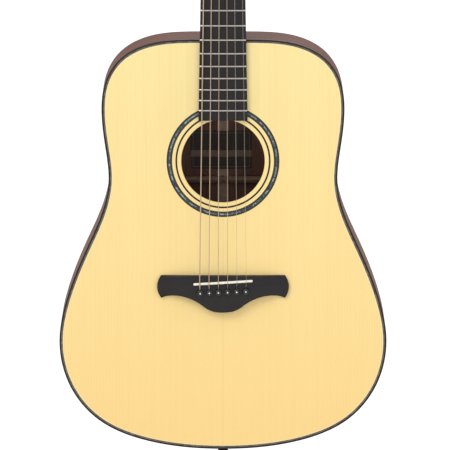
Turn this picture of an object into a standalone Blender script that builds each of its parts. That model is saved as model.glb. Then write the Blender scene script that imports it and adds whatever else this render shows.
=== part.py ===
"""Steel-string acoustic guitar with a dreadnought body, built piece by piece.

Frame, in metres: +Z runs up the neck, +X to the treble side, and the soundboard faces -Y.
The plane y = 0 is the soundboard's outer face and the glue face of the neck.
The origin is on the centre line at the foot of the headstock, where a hanger's yoke holds it.
"""
import math

import bmesh
import bpy
import numpy as np
from mathutils import Matrix, Vector

# Driving dimensions, in metres.
GAP = 0.0003
SCALE_LENGTH = 0.650
FRET_COUNT = 20
BODY_FRET = 14
NUT_THICK = 0.006
NUT_HALF = 0.0215
BODY_LENGTH = 0.495
BODY_HALF = 0.1965
DEPTH_AT_NECK = 0.100
DEPTH_AT_TAIL = 0.125
BACK_ARCH = 0.004
PLATE = 0.0028
SIDE = 0.002
BINDING_HIGH = 0.006
PURFLING_WIDE = 0.0044
PURFLING_DEEP = 0.0015
LINING_WIDE = 0.006
LINING_HIGH = 0.015
RIM_POINTS = 56
RING_SIDES = 40
ROUND_SIDES = 10
FEW_SIDES = 8

SOUNDHOLE_FROM_TAIL = 0.3489
SOUNDHOLE_RADIUS = 0.050
ROSETTE_INNER = 0.0610
ROSETTE_OUTER = 0.0676
ROSETTE_DEEP = 0.0012
ABALONE_INNER = 0.0634
ABALONE_OUTER = 0.0652
ABALONE_DEEP = 0.0008
FINE_RING_INNER = 0.0553
FINE_RING_OUTER = 0.0567

BOARD_THICK = 0.0062
BOARD_END_FROM_TAIL = 0.398
BOARD_END_HALF = 0.0294
FRET_HIGH = 0.0011
FRET_WIDE = 0.0022
CAMBER_RADIUS = 0.406

NECK_DEPTH_AT_NUT = 0.0150
NECK_DEPTH_AT_HEEL = 0.0175
HEEL_DEPTH = 0.099
HEEL_CAP_LONG = 0.018
HEEL_CURVE_LONG = 0.062
HEEL_CAP_HALF = 0.0115
HEAD_TILT = math.radians(14)
HEAD_THICK = 0.014
VENEER_THICK = 0.0017
COVER_THICK = 0.0018

STRING_RADII = (0.00015, 0.0002, 0.0003, 0.0004, 0.00053, 0.00067)
SPREAD_AT_NUT = 0.038
SPREAD_AT_SADDLE = 0.056
SPREAD_AT_PINS = 0.0548
NUT_SLOT_HEIGHT = 0.0082
SADDLE_HEIGHT = 0.0114
SADDLE_FROM_TAIL = 0.203
SADDLE_SLOPE = 0.0589
SADDLE_HALF = 0.0356
SADDLE_THICK = 0.003
PINS_FROM_TAIL = 0.1915
PIN_SLOPE = 0.038
PIN_RADIUS = 0.0023
PIN_HEAD_RADIUS = 0.0039
PIN_HEAD_LIFT = 0.0018
STRING_BEHIND_PIN = 0.0034
BRIDGE_THICK = 0.009
BRIDGE_HALF = 0.079
BRIDGE_TOP_FROM_TAIL = 0.2112

POST_ALONG = (0.042, 0.082, 0.122)
POST_ACROSS = 0.0215
POST_RADIUS = 0.003
POST_HIGH = 0.0145
GEAR_TEETH = 14
WORM_PITCH = 0.0018
WORM_OUTER = 0.0026
WORM_CORE = 0.0017
WORM_TURNS = 3
GEAR_OUTER = 0.00435
GEAR_ROOT = 0.0036
GEAR_THICK = 0.003
GEAR_LEVEL = -0.0185
WORM_OFFSET = 0.0064
SHAFT_RADIUS = 0.0014
KNOB_START = 0.0420
KNOB_LONG = 0.0170
PLATE_TOP = -HEAD_THICK - GAP
TUNER_PLATE_THICK = 0.0012
LUG_FACES = (-0.0066, 0.0040)
LUG_THICK = 0.0015

TRUSS_AXIS_Y = 0.0065
TRUSS_RADIUS = 0.0025
TRUSS_NUT_RADIUS = 0.0035
END_PIN_HEAD = 0.0065

# Half of the body outline: half width and distance from the tail.
BODY_SHAPE = (
    (0.0, 0.0), (0.095, 0.011), (0.149, 0.035), (0.1815, 0.072), (BODY_HALF, 0.132), (0.188, 0.1805),
    (0.1645, 0.241), (0.144, 0.2895), (0.1372, 0.3255), (0.1405, 0.362), (0.1455, 0.4105),
    (0.1398, 0.4467), (0.1237, 0.471), (0.090, 0.4893), (0.045, 0.4949), (0.0, BODY_LENGTH),
)
# Lower edge of the bridge: half width and distance below its straight upper edge.
BRIDGE_EDGE = ((0.0, 0.0446), (0.0110, 0.0436), (0.0205, 0.0394), (0.0280, 0.0340), (0.0361, 0.0295),
               (0.0470, 0.0256), (0.0583, 0.0243), (0.0680, 0.0252), (0.0742, 0.0273))
# Half of the headstock outline: half width and distance along it.
HEAD_SHAPE = ((0.0214, 0.0002), (0.0218, 0.006), (0.0238, 0.012), (0.0275, 0.018), (0.0300, 0.024),
              (0.0312, 0.034), (0.0372, 0.168), (0.0368, 0.174), (0.0345, 0.178), (0.0300, 0.1800),
              (0.0150, 0.1835), (0.0, 0.1845))

LOOKS = {
    "spruce": ((0.93, 0.78, 0.50), 0.35, 0.0),
    "mahogany": ((0.30, 0.13, 0.08), 0.35, 0.0),
    "brace_wood": ((0.72, 0.55, 0.35), 0.7, 0.0),
    "ebony": ((0.035, 0.028, 0.026), 0.4, 0.0),
    "brown_binding": ((0.20, 0.15, 0.12), 0.35, 0.0),
    "abalone": ((0.55, 0.66, 0.68), 0.2, 0.1),
    "bone": ((0.88, 0.85, 0.76), 0.35, 0.0),
    "nickel": ((0.72, 0.70, 0.67), 0.25, 1.0),
    "bronze": ((0.72, 0.50, 0.36), 0.3, 1.0),
    "pearl_button": ((0.85, 0.82, 0.74), 0.3, 0.0),
    "steel": ((0.60, 0.60, 0.61), 0.35, 1.0),
}


def fret_z(number):
    """Height of a fret; fret 0 is the front face of the nut."""
    return -NUT_THICK - SCALE_LENGTH * (1 - 2 ** (-number / 12))


BODY_TOP_Z = fret_z(BODY_FRET)
TAIL_Z = BODY_TOP_Z - BODY_LENGTH
HEAD_FRAME = Matrix.Rotation(math.pi / 2 - HEAD_TILT, 4, "X")


def from_tail(distance):
    return TAIL_Z + distance


def camber(x):
    """Fall of the playing surface away from the centre line."""
    return x * x / (2 * CAMBER_RADIUS)


def back_y(x, z):
    """Outer face of the back: deeper towards the tail and gently arched across."""
    share = (BODY_TOP_Z - z) / BODY_LENGTH
    return DEPTH_AT_NECK + (DEPTH_AT_TAIL - DEPTH_AT_NECK) * share - BACK_ARCH * (x / BODY_HALF) ** 2


def on_front(depth):
    return lambda x, z: depth


def on_back(depth):
    return lambda x, z: back_y(x, z) - depth


# Curves.

def smooth_loop(knots, count):
    """Points along the closed cubic spline through the knots, evenly spread along it."""
    knots = np.array(knots, float)
    following = np.roll(knots, -1, 0)
    before = np.roll(knots, 1, 0)
    span = np.linalg.norm(following - knots, axis=1)
    past = np.roll(span, 1)
    size = len(knots)
    system = np.zeros((size, size))
    for row in range(size):
        system[row, row - 1] += span[row]
        system[row, row] += 2 * (past[row] + span[row])
        system[row, (row + 1) % size] += past[row]
    rise = 3 * (span[:, None] * (knots - before) / past[:, None]
                + past[:, None] * (following - knots) / span[:, None])
    slope = np.linalg.solve(system, rise)
    start = np.concatenate([[0], np.cumsum(span)])
    place = np.linspace(0, start[-1], count, endpoint=False)
    index = np.clip(np.searchsorted(start, place, side="right") - 1, 0, size - 1)
    t = ((place - start[index]) / span[index])[:, None]
    reach = span[index][:, None]
    return ((2 * t**3 - 3 * t**2 + 1) * knots[index] + (t**3 - 2 * t**2 + t) * slope[index] * reach
            + (3 * t**2 - 2 * t**3) * following[index]
            + (t**3 - t**2) * np.roll(slope, -1, 0)[index] * reach)


def body_rim():
    """Rim points of the body and their outward normals, closer together where it bends."""
    right = [(x, from_tail(z)) for x, z in BODY_SHAPE]
    left = [(-x, z) for x, z in right[-2:0:-1]]
    dense = smooth_loop(right + left, 3200)
    half = dense[:1601]
    step = np.diff(half, axis=0)
    heading = np.unwrap(np.arctan2(step[:, 1], step[:, 0]))
    bend = np.abs(np.gradient(heading))
    weight = np.concatenate([[0], np.cumsum(np.linalg.norm(step, axis=1) + 0.09 * bend)])
    place = np.linspace(0, weight[-1], RIM_POINTS // 2 + 1)
    chosen = np.searchsorted(weight, place).clip(0, 1600)
    tangent = np.gradient(dense, axis=0)
    normal = np.stack([tangent[:, 1], -tangent[:, 0]], 1)
    normal /= np.linalg.norm(normal, axis=1)[:, None]
    points, normals = half[chosen], normal[chosen]
    points[[0, -1], 0] = 0
    normals[0], normals[-1] = (0, -1), (0, 1)
    mirror = np.array([-1, 1])
    return (np.concatenate([points, (points * mirror)[-2:0:-1]]),
            np.concatenate([normals, (normals * mirror)[-2:0:-1]]))


RIM, RIM_NORMAL = body_rim()


def rim_inset(distance):
    return RIM - distance * RIM_NORMAL


def brace_reach(z, width):
    """Half length of a cross brace that ends just short of the linings."""
    side = rim_inset(SIDE + LINING_WIDE + 3 * GAP)[:RIM_POINTS // 2 + 1]
    return float(min(np.interp([z - width / 2, z, z + width / 2], side[:, 1], side[:, 0])))


# Mesh helpers.

def look_of(name, look):
    colour, roughness, metallic = LOOKS[look]
    material = bpy.data.materials.new(name)
    material.use_nodes = True
    shader = material.node_tree.nodes["Principled BSDF"]
    shader.inputs["Base Color"].default_value = (*colour, 1)
    shader.inputs["Roughness"].default_value = roughness
    shader.inputs["Metallic"].default_value = metallic
    return material


def make_object(name, bm, look=None, smooth=False):
    """Turn the bmesh into an object with its own material; without a look it is only a tool."""
    bmesh.ops.recalc_face_normals(bm, faces=bm.faces)
    if bm.calc_volume(signed=True) < 0:
        bmesh.ops.reverse_faces(bm, faces=bm.faces)
    mesh = bpy.data.meshes.new(name)
    bm.to_mesh(mesh)
    bm.free()
    if smooth:
        mesh.shade_smooth()
        mesh.set_sharp_from_angle(angle=math.radians(35))
    obj = bpy.data.objects.new(name, mesh)
    bpy.context.collection.objects.link(obj)
    if look:
        mesh.materials.append(look_of(name, look))
    return obj


def join_rings(bm, rings, closed=False):
    """Skin a row of point rings; an open row gets a flat cap at each end."""
    rows = [[bm.verts.new(point) for point in ring] for ring in rings]
    pairs = list(zip(rows, rows[1:]))
    if closed:
        pairs.append((rows[-1], rows[0]))
    for low, high in pairs:
        for i in range(len(low)):
            j = (i + 1) % len(low)
            bm.faces.new((low[i], low[j], high[j], high[i]))
    if not closed:
        bm.faces.new(rows[0][::-1])
        bm.faces.new(rows[-1])


def loft(name, rings, look=None, closed=False, smooth=False):
    bm = bmesh.new()
    join_rings(bm, rings, closed)
    return make_object(name, bm, look, smooth)


def circle(radius, count, level=0.0):
    angles = [2 * math.pi * i / count for i in range(count)]
    return [(radius * math.cos(a), radius * math.sin(a), level) for a in angles]


def turned(name, profile, count, look=None, smooth=True):
    """Round piece about local Z from (radius, level) pairs; a ring when the profile closes on itself."""
    rings = [circle(radius, count, level) for radius, level in profile]
    return loft(name, rings, look, smooth=smooth)


def turned_ring(name, section, count, look=None):
    """Ring about local Z whose section is a closed row of (radius, level) pairs."""
    rings = []
    for i in range(count):
        angle = 2 * math.pi * i / count
        rings.append([(r * math.cos(angle), r * math.sin(angle), level) for r, level in section])
    return loft(name, rings, look, closed=True, smooth=True)


def prism(name, outline, low, high, look=None):
    """Outline of (x, y) points raised along local Z."""
    rings = [[(x, y, level) for x, y in outline] for level in (low, high)]
    return loft(name, rings, look)


def box(name, low, high, look=None):
    outline = ((low[0], low[1]), (high[0], low[1]), (high[0], high[1]), (low[0], high[1]))
    return prism(name, outline, low[2], high[2], look)


def joined_tools(name, tools):
    """One tool object out of several separate ones."""
    bm = bmesh.new()
    for tool in tools:
        bm.from_mesh(tool.data)
        bpy.data.objects.remove(tool)
    return make_object(name, bm)


def combine(piece, tool, operation="DIFFERENCE", solver="EXACT"):
    modifier = piece.modifiers.new(tool.name, "BOOLEAN")
    modifier.operation = operation
    modifier.solver = solver
    modifier.object = tool
    tool.hide_render = True
    tool.display_type = "WIRE"


def move_mesh(obj, matrix):
    obj.data.transform(matrix)
    return obj


def facing_front(obj, x, z):
    """Turn a piece made about local Z so that +Z points out of the soundboard, at (x, z)."""
    return move_mesh(obj, Matrix.Translation((x, 0, z)) @ Matrix.Rotation(math.pi / 2, 4, "X"))


# Body.

def rim_piece(name, section, look):
    """Closed ring round the body from (inset, depth rule) pairs."""
    loops = [rim_inset(inset) for inset, _ in section]
    rings = []
    for i in range(RIM_POINTS):
        ring = []
        for loop, (_, depth) in zip(loops, section):
            x, z = loop[i]
            ring.append((x, depth(x, z), z))
        rings.append(ring)
    return loft(name, rings, look, closed=True, smooth=True)


def side_half(name, sign):
    """One bent side, from the seam at the tail to the seam under the neck's heel."""
    outer, inner = rim_inset(0), rim_inset(SIDE)
    front, back = on_front(BINDING_HIGH + GAP), on_back(BINDING_HIGH + GAP)
    rings = []
    for i in range(RIM_POINTS // 2 + 1):
        ring = []
        for loop, depth in ((outer, front), (outer, back), (inner, back), (inner, front)):
            x, z = loop[i]
            x = max(x, GAP / 2)
            ring.append((sign * x, depth(x, z), z))
        rings.append(ring)
    return loft(name, rings, "mahogany", smooth=True)


def bindings():
    full, ledge = SIDE, PURFLING_WIDE
    front = [(0, 0.0), (ledge, 0.0), (ledge, PURFLING_DEEP), (full, PURFLING_DEEP),
             (full, BINDING_HIGH), (0, BINDING_HIGH)]
    rim_piece("top_binding", [(inset, on_front(depth)) for inset, depth in front], "brown_binding")
    back = [(0, 0.0), (full, 0.0), (full, BINDING_HIGH), (0, BINDING_HIGH)]
    rim_piece("back_binding", [(inset, on_back(depth)) for inset, depth in back], "brown_binding")


def linings():
    """Glue strips in the corners between the sides and the two plates."""
    near = SIDE + GAP
    start = PLATE + GAP
    section = [(near, start), (near + LINING_WIDE, start), (near + LINING_WIDE, start + 0.006),
               (near + 0.0012, start + LINING_HIGH), (near, start + LINING_HIGH)]
    rim_piece("top_lining", [(inset, on_front(depth)) for inset, depth in section], "brace_wood")
    rim_piece("back_lining", [(inset, on_back(depth)) for inset, depth in section], "brace_wood")


def soundboard():
    """Spruce plate, rebated for the purfling, with its soundhole and rosette grooves turned out."""
    outer, inner = rim_inset(SIDE + GAP), rim_inset(PURFLING_WIDE + GAP)
    ledge = PURFLING_DEEP + GAP
    rings = []
    for loop, depth in ((inner, 0.0), (inner, ledge), (outer, ledge), (outer, PLATE)):
        rings.append([(x, depth, z) for x, z in loop])
    plate = loft("soundboard", rings, "spruce")
    groove = [(ROSETTE_OUTER + GAP, 0.001), (ROSETTE_OUTER + GAP, -ROSETTE_DEEP - GAP),
              (ROSETTE_INNER - GAP, -ROSETTE_DEEP - GAP), (ROSETTE_INNER - GAP, 0.0005),
              (FINE_RING_OUTER + GAP, 0.0005), (FINE_RING_OUTER + GAP, -ROSETTE_DEEP - GAP),
              (FINE_RING_INNER - GAP, -ROSETTE_DEEP - GAP), (FINE_RING_INNER - GAP, 0.0005),
              (SOUNDHOLE_RADIUS, 0.0005), (SOUNDHOLE_RADIUS, -0.006)]
    cutter = turned("cut_soundhole", groove, RING_SIDES)
    combine(plate, facing_front(cutter, 0, from_tail(SOUNDHOLE_FROM_TAIL)))
    combine(plate, pin_hole_cutter())
    return plate


def rosette():
    centre = from_tail(SOUNDHOLE_FROM_TAIL)
    channel = [(ROSETTE_INNER, 0.0), (ABALONE_INNER - GAP, 0.0), (ABALONE_INNER - GAP, -ABALONE_DEEP - GAP / 2),
               (ABALONE_OUTER + GAP, -ABALONE_DEEP - GAP / 2), (ABALONE_OUTER + GAP, 0.0),
               (ROSETTE_OUTER, 0.0), (ROSETTE_OUTER, -ROSETTE_DEEP), (ROSETTE_INNER, -ROSETTE_DEEP)]
    shell = [(ABALONE_INNER, 0.0), (ABALONE_OUTER, 0.0),
             (ABALONE_OUTER, GAP / 2 - ABALONE_DEEP), (ABALONE_INNER, GAP / 2 - ABALONE_DEEP)]
    fine = [(FINE_RING_INNER, 0.0), (FINE_RING_OUTER, 0.0),
            (FINE_RING_OUTER, -ROSETTE_DEEP), (FINE_RING_INNER, -ROSETTE_DEEP)]
    for name, section, look in (("rosette_purfling_ring", channel, "ebony"),
                                ("rosette_abalone_ring", shell, "abalone"),
                                ("rosette_inner_ring", fine, "brown_binding")):
        facing_front(turned_ring(name, section, RING_SIDES, look), 0, centre)


def back_plate():
    """Arched plate skinned over shrinking copies of its rim, on both faces."""
    rim = rim_inset(SIDE + GAP)
    centre = np.array([0, from_tail(0.45 * BODY_LENGTH)])
    bm = bmesh.new()
    edges = []
    for thickness in (0.0, PLATE):
        rows = []
        for share in (1.0, 0.7, 0.4):
            loop = centre + share * (rim - centre)
            rows.append([bm.verts.new((x, back_y(x, z) - thickness, z)) for x, z in loop])
        middle = bm.verts.new((0, back_y(0, centre[1]) - thickness, centre[1]))
        for i in range(RIM_POINTS):
            j = (i + 1) % RIM_POINTS
            for wide, narrow in zip(rows, rows[1:]):
                bm.faces.new((wide[i], wide[j], narrow[j], narrow[i]))
            bm.faces.new((rows[-1][i], rows[-1][j], middle))
        edges.append(rows[0])
    for i in range(RIM_POINTS):
        j = (i + 1) % RIM_POINTS
        bm.faces.new((edges[0][i], edges[0][j], edges[1][j], edges[1][i]))
    return make_object("back_plate", bm, "mahogany", smooth=True)


def end_block(name, half, outer, inner):
    """Block between the plates, rebated where the linings run past it."""
    notch = SIDE + LINING_WIDE + 2 * GAP + abs(outer - rim_end(outer))
    cut = rim_end(outer) + math.copysign(notch, inner - outer)
    high = LINING_HIGH + PLATE + 2 * GAP
    rings = []
    for x in (-half, half):
        def back(z, less):
            return back_y(half, z) - less
        ring = [(x, high, outer), (x, high, cut), (x, PLATE + GAP, cut), (x, PLATE + GAP, inner),
                (x, back(inner, PLATE + GAP), inner), (x, back(cut, PLATE + GAP), cut),
                (x, back(cut, high), cut), (x, back(outer, high), outer)]
        rings.append(ring)
    return loft(name, rings, "mahogany")


def rim_end(z):
    """The end of the body nearest to a height."""
    return BODY_TOP_Z if z > from_tail(BODY_LENGTH / 2) else TAIL_Z


def bar(name, start, end, width, stations, base=None):
    """Brace between two (x, z) points; stations are (share of length, height) pairs.

    It stands on the inside of the soundboard, or on the surface given by base and then points forward.
    """
    start, end = Vector(start), Vector(end)
    side = (end - start).normalized().orthogonal() * (width / 2)
    rings = []
    for share, height in stations:
        centre = start.lerp(end, share)
        ring = []
        for across, up in ((-1, 0), (1, 0), (1, 0.72), (0, 1), (-1, 0.72)):
            x, z = centre + across * side
            if base:
                y = base(centre.x, centre.y) - up * height
            else:
                y = PLATE + GAP + up * height
            ring.append((x, y, z))
        rings.append(ring)
    return loft(name, rings, "brace_wood")


def soundboard_braces():
    crossing = Vector((0, from_tail(0.268)))
    lean = math.radians(49)
    legs = ((0, 0.004), (0.12, 0.007), (0.3, 0.011), (0.5, 0.015), (0.66, 0.015), (0.85, 0.010), (1, 0.004))
    upper, lower, width, high = 0.174, 0.240, 0.008, 0.015
    for number, sign in ((1, 1), (2, -1)):
        along = Vector((sign * math.sin(lean), math.cos(lean)))
        brace = bar(f"x_brace_{number}", crossing - lower * along, crossing + upper * along, width, legs)
        other = Matrix.Rotation(sign * lean, 4, "Y")
        halfway = PLATE + GAP + high / 2
        low, top = ((halfway - GAP / 2, 0.03), (0.0, halfway + GAP / 2))[number - 1]
        slot = box(f"cut_lap_{number}", (-width / 2 - GAP, low, -0.012), (width / 2 + GAP, top, 0.012))
        move_mesh(slot, Matrix.Translation((0, 0, crossing.y)) @ other.inverted())
        combine(brace, slot)
    z = from_tail(0.421)
    reach = brace_reach(z, 0.012)
    flat_ends = ((0, 0.004), (0.12, 0.011), (0.88, 0.011), (1, 0.004))
    bar("upper_transverse_brace", (-reach, z), (reach, z), 0.012, flat_ends)
    for number, (treble, bass) in enumerate((((0.098, 0.168), (-0.080, 0.105)),
                                             ((0.121, 0.146), (-0.060, 0.082))), 1):
        bar(f"tone_bar_{number}", (treble[0], from_tail(treble[1])), (bass[0], from_tail(bass[1])), 0.0065,
            ((0, 0.004), (0.25, 0.011), (0.6, 0.009), (1, 0.003)))


def bridge_plate():
    low, high = from_tail(0.176), from_tail(0.213)
    outline = ((-0.093, low), (0.093, low), (0.055, high), (-0.055, high))
    rings = [[(x, y, z) for x, z in outline] for y in (PLATE + GAP, PLATE + GAP + 0.0025)]
    plate = loft("bridge_plate", rings, "brace_wood")
    combine(plate, pin_hole_cutter())
    return plate


def back_reinforcement():
    """Four braces across the back and the strip along its centre seam, which they arch over."""
    strip_half, strip_thick = 0.007, 0.0018
    for number, (distance, width, height) in enumerate(((0.425, 0.008, 0.013), (0.315, 0.0075, 0.013),
                                                        (0.205, 0.016, 0.010), (0.110, 0.016, 0.010)), 1):
        z = from_tail(distance)
        reach = brace_reach(z, width)
        step = (strip_half + GAP) / reach
        ramp = step + 0.0012 / reach
        right = [(step, height, 1), (ramp, height, 0), (0.3, height, 0), (0.6, height, 0), (0.85, height, 0),
                 (1.0, 0.003, 0)]
        places = [(-share, tall, up) for share, tall, up in right[::-1]] + right
        rings = []
        for share, tall, up in places:
            x = share * reach
            foot = back_y(x, z) - PLATE - GAP - up * (strip_thick + GAP)
            crest = back_y(x, z) - PLATE - tall
            shoulder = foot + 0.72 * (crest - foot)
            lean = (DEPTH_AT_TAIL - DEPTH_AT_NECK) / BODY_LENGTH * width / 2
            rings.append([(x, foot + lean, z - width / 2), (x, foot - lean, z + width / 2),
                          (x, shoulder, z + width / 2), (x, crest, z), (x, shoulder, z - width / 2)])
        loft(f"back_brace_{number}", rings, "brace_wood")
    rings = []
    for z in (from_tail(0.0235), from_tail(0.4385)):
        foot = back_y(strip_half, z) - PLATE - GAP
        rings.append([(-strip_half, foot, z), (strip_half, foot, z),
                      (strip_half, foot - strip_thick, z), (-strip_half, foot - strip_thick, z)])
    loft("back_center_strip", rings, "brace_wood")


def end_pin():
    """Strap pin in the tail block, with its flat face looking away from the body."""
    y = back_y(0, TAIL_Z) / 2
    profile = [(0.0034, 0.024), (0.0038, -GAP), (0.0072, -GAP), (0.0072, -0.0025), (0.0046, -0.0045),
               (0.0046, -0.0075), (END_PIN_HEAD, -0.0105), (END_PIN_HEAD, -0.0120), (0.0052, -0.0130)]
    pin = turned("end_pin", profile, 14, "ebony")
    move_mesh(pin, Matrix.Translation((0, y, TAIL_Z)))
    return y


def body():
    bindings()
    linings()
    soundboard()
    rosette()
    back_plate()
    sides = [side_half("side_bass", -1), side_half("side_treble", 1)]
    end_block("neck_block", 0.038, from_tail(0.4924), from_tail(0.440))
    tail = end_block("tail_block", 0.030, from_tail(0.0042), from_tail(0.022))
    y = end_pin()
    hole = turned("cut_end_pin", [(0.0042, -0.005), (0.0042, 0.03)], 14)
    move_mesh(hole, Matrix.Translation((0, y, TAIL_Z)))
    for piece in (*sides, tail):
        combine(piece, hole)
    soundboard_braces()
    bridge_plate()
    back_reinforcement()


# Bridge.

def string_shares():
    """Place of each string across the set, 1 (thin, treble) to 6 (thick, bass), from 0.5 to -0.5."""
    return [0.5 - number / 5 for number in range(6)]


def pin_place(share):
    x = share * SPREAD_AT_PINS
    return x, from_tail(PINS_FROM_TAIL) + PIN_SLOPE * x


def pin_hole_cutter():
    """Holes for the six pins, each with the slot that the string lies in."""
    tools = []
    for share in string_shares():
        x, z = pin_place(share)
        hole = turned("hole", [(PIN_RADIUS + GAP, -0.012), (PIN_RADIUS + GAP, 0.012)], ROUND_SIDES)
        tools.append(facing_front(hole, x, z))
    holes = joined_tools("cut_pin_holes", tools)
    slots = []
    for share in string_shares():
        x, z = pin_place(share)
        slots.append(box("slot", (x - 0.001, -0.0119, z + 0.0012), (x + 0.001, 0.0119, z + 0.0045)))
    combine(holes, joined_tools("cut_string_slots", slots), "UNION")
    return holes


def bridge_edges(x):
    """Upper and lower edge of the bridge at a distance from its middle."""
    top = from_tail(BRIDGE_TOP_FROM_TAIL)
    half, drop = zip(*BRIDGE_EDGE)
    if x <= half[-1]:
        return top, top - float(np.interp(x, half, drop))
    middle, reach = top - drop[-1] / 2, drop[-1] / 2
    bulge = BRIDGE_HALF - half[-1]
    radius = (reach ** 2 + bulge ** 2) / (2 * bulge)
    arc = math.sqrt(radius ** 2 - (x - BRIDGE_HALF + radius) ** 2)
    return middle + arc, middle - arc


def bridge_height(x):
    """Full height between the shoulders, scooped down to thin wing tips."""
    shoulder, thin_from, thin = 0.044, 0.072, 0.0035
    share = min(1.0, max(0.0, (x - shoulder) / (thin_from - shoulder)))
    fall = (1 - math.cos(math.pi * share)) / 2
    return BRIDGE_THICK - (BRIDGE_THICK - thin) * fall


def bridge():
    places = (0.0788, 0.0778, 0.0762, 0.0742, 0.068, 0.0625, 0.058, 0.052, 0.047, 0.0415, 0.0361, 0.028, 0.0205, 0.011)
    rings = []
    for x in [-p for p in places] + [0.0] + list(places[::-1]):
        upper, lower = bridge_edges(abs(x))
        high = bridge_height(abs(x))
        soft = min(0.0012, 0.3 * (upper - lower))
        foot, crown = -GAP, -GAP - high
        rings.append([(x, foot, lower), (x, crown + soft, lower), (x, crown, lower + soft),
                      (x, crown, upper - soft), (x, crown + soft, upper), (x, foot, upper)])
    piece = loft("bridge", rings, "ebony", smooth=True)
    combine(piece, pin_hole_cutter())
    slot = box("cut_saddle_slot", (-SADDLE_HALF - GAP, -0.03, -SADDLE_THICK / 2 - GAP),
               (SADDLE_HALF + GAP, -0.0045, SADDLE_THICK / 2 + GAP))
    move_mesh(slot, saddle_frame())
    combine(piece, slot)


def saddle_frame():
    turn = Matrix.Rotation(-math.atan(SADDLE_SLOPE), 4, "Y")
    return Matrix.Translation((0, 0, from_tail(SADDLE_FROM_TAIL))) @ turn


def saddle():
    rings = []
    for i in range(9):
        x = SADDLE_HALF * (i / 4 - 1)
        crown = camber(x) - SADDLE_HEIGHT
        half = SADDLE_THICK / 2
        rings.append([(x, -0.0048, -half), (x, crown + 0.0011, -half), (x, crown + 0.0003, -half * 0.55),
                      (x, crown, 0), (x, crown + 0.0003, half * 0.55), (x, crown + 0.0011, half),
                      (x, -0.0048, half)])
    piece = loft("saddle", rings, "bone", smooth=True)
    move_mesh(piece, saddle_frame())


def bridge_pins():
    top = GAP + BRIDGE_THICK
    head = top + PIN_HEAD_LIFT
    profile = [(0.0012, -0.0165), (0.0015, -0.0155), (0.0016, -0.0085), (0.0021, -0.0070),
               (PIN_RADIUS, top), (PIN_RADIUS, head),
               (PIN_HEAD_RADIUS - 0.0004, head), (PIN_HEAD_RADIUS, head + 0.0006),
               (PIN_HEAD_RADIUS * 0.86, head + 0.0021), (PIN_HEAD_RADIUS * 0.45, head + 0.0031)]
    for number, share in enumerate(string_shares(), 1):
        pin = turned(f"bridge_pin_{number}", profile, ROUND_SIDES, "ebony")
        facing_front(pin, *pin_place(share))


# Neck.

def board_half(z):
    """Half width of the fretboard, which widens evenly from the nut to its end."""
    share = (-NUT_THICK - z) / (-NUT_THICK - from_tail(BOARD_END_FROM_TAIL))
    return NUT_HALF + (BOARD_END_HALF - NUT_HALF) * share


def fretboard():
    """Cambered board with its frets standing on it."""
    start, end = -NUT_THICK - GAP, from_tail(BOARD_END_FROM_TAIL)
    face = GAP + BOARD_THICK
    levels = [(start, 0.0)]
    for number in range(1, FRET_COUNT + 1):
        z = fret_z(number)
        for offset, rise in ((0.5, 0.0), (0.22, 1.0), (-0.22, 1.0), (-0.5, 0.0)):
            levels.append((z + offset * FRET_WIDE, rise * FRET_HIGH))
    levels.append((end, 0.0))
    rings = []
    for z, rise in levels:
        half = board_half(z)
        top = [(x, camber(x) - face - rise, z) for x in (-half, -half / 2, 0, half / 2, half)]
        rings.append([(half, -GAP, z), (-half, -GAP, z)] + top)
    loft("fretboard", rings, "ebony")


def neck_ring(z, half, depth, heel, top=0.0):
    """Section of the neck: a rounded D that turns into the heel's tapering blade."""
    ring = []
    for i in range(15):
        angle = math.pi * i / 14
        across = math.copysign(abs(math.cos(angle)) ** 0.87, math.cos(angle))
        down = math.sin(angle) ** 0.87
        blade = HEEL_CAP_HALF + (half - HEEL_CAP_HALF) * (1 - down) ** 1.8
        blade = 0.0 if i == 7 else math.copysign(blade, across)
        x = (1 - heel) * half * across + heel * blade
        ring.append((x, top + (depth - top) * down, z))
    return ring


def neck_shaft():
    """Loft from the heel's cap to just inside the headstock."""
    heel_top = BODY_TOP_Z + HEEL_CAP_LONG
    curve_top = heel_top + HEEL_CURVE_LONG
    rings = []
    for z, curl in [(BODY_TOP_Z + GAP, 1.0)] + [
            (heel_top + HEEL_CURVE_LONG * (1 - h), h) for h in (1.0, 0.97, 0.9, 0.8, 0.65, 0.45, 0.2)]:
        heel = 1 - math.sqrt(1 - curl * curl)
        depth = NECK_DEPTH_AT_HEEL + (HEEL_DEPTH - NECK_DEPTH_AT_HEEL) * heel
        rings.append(neck_ring(z, board_half(z), depth, heel))
    for share in (0.0, 0.5, 1.0):
        z = curve_top + (-NUT_THICK - curve_top) * share
        depth = NECK_DEPTH_AT_HEEL + (NECK_DEPTH_AT_NUT - NECK_DEPTH_AT_HEEL) * share
        rings.append(neck_ring(z, board_half(z), depth, 0.0))
    rings.append(neck_ring(0.0, NUT_HALF - 0.0002, NECK_DEPTH_AT_NUT, 0.0, GAP))
    end = 0.014
    rings.append(neck_ring(end, NUT_HALF - 0.0003, NECK_DEPTH_AT_NUT + 0.001, 0.0,
                           end * math.tan(HEAD_TILT) + 0.0005))
    return loft("neck", rings, "mahogany", smooth=True)


def head_outline(inset=0.0, start=0):
    right = [(x - inset if x else 0.0, y - (inset if y > 0.17 else 0.0)) for x, y in HEAD_SHAPE[start:]]
    return right + [(-x, y) for x, y in right[-2::-1]]


def head_empty():
    """Frame of the headstock: local Y along it and local Z out of its front face."""
    frame = bpy.data.objects.new("headstock_frame", None)
    frame.matrix_world = HEAD_FRAME
    bpy.context.collection.objects.link(frame)
    return frame


def post_places():
    """(string number, side sign, local x, local y) of each tuner, string 1 to 6."""
    places = []
    for number in range(1, 7):
        sign = 1 if number <= 3 else -1
        row = number - 1 if sign > 0 else 6 - number
        places.append((number, sign, sign * POST_ACROSS, POST_ALONG[row]))
    return places


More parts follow.
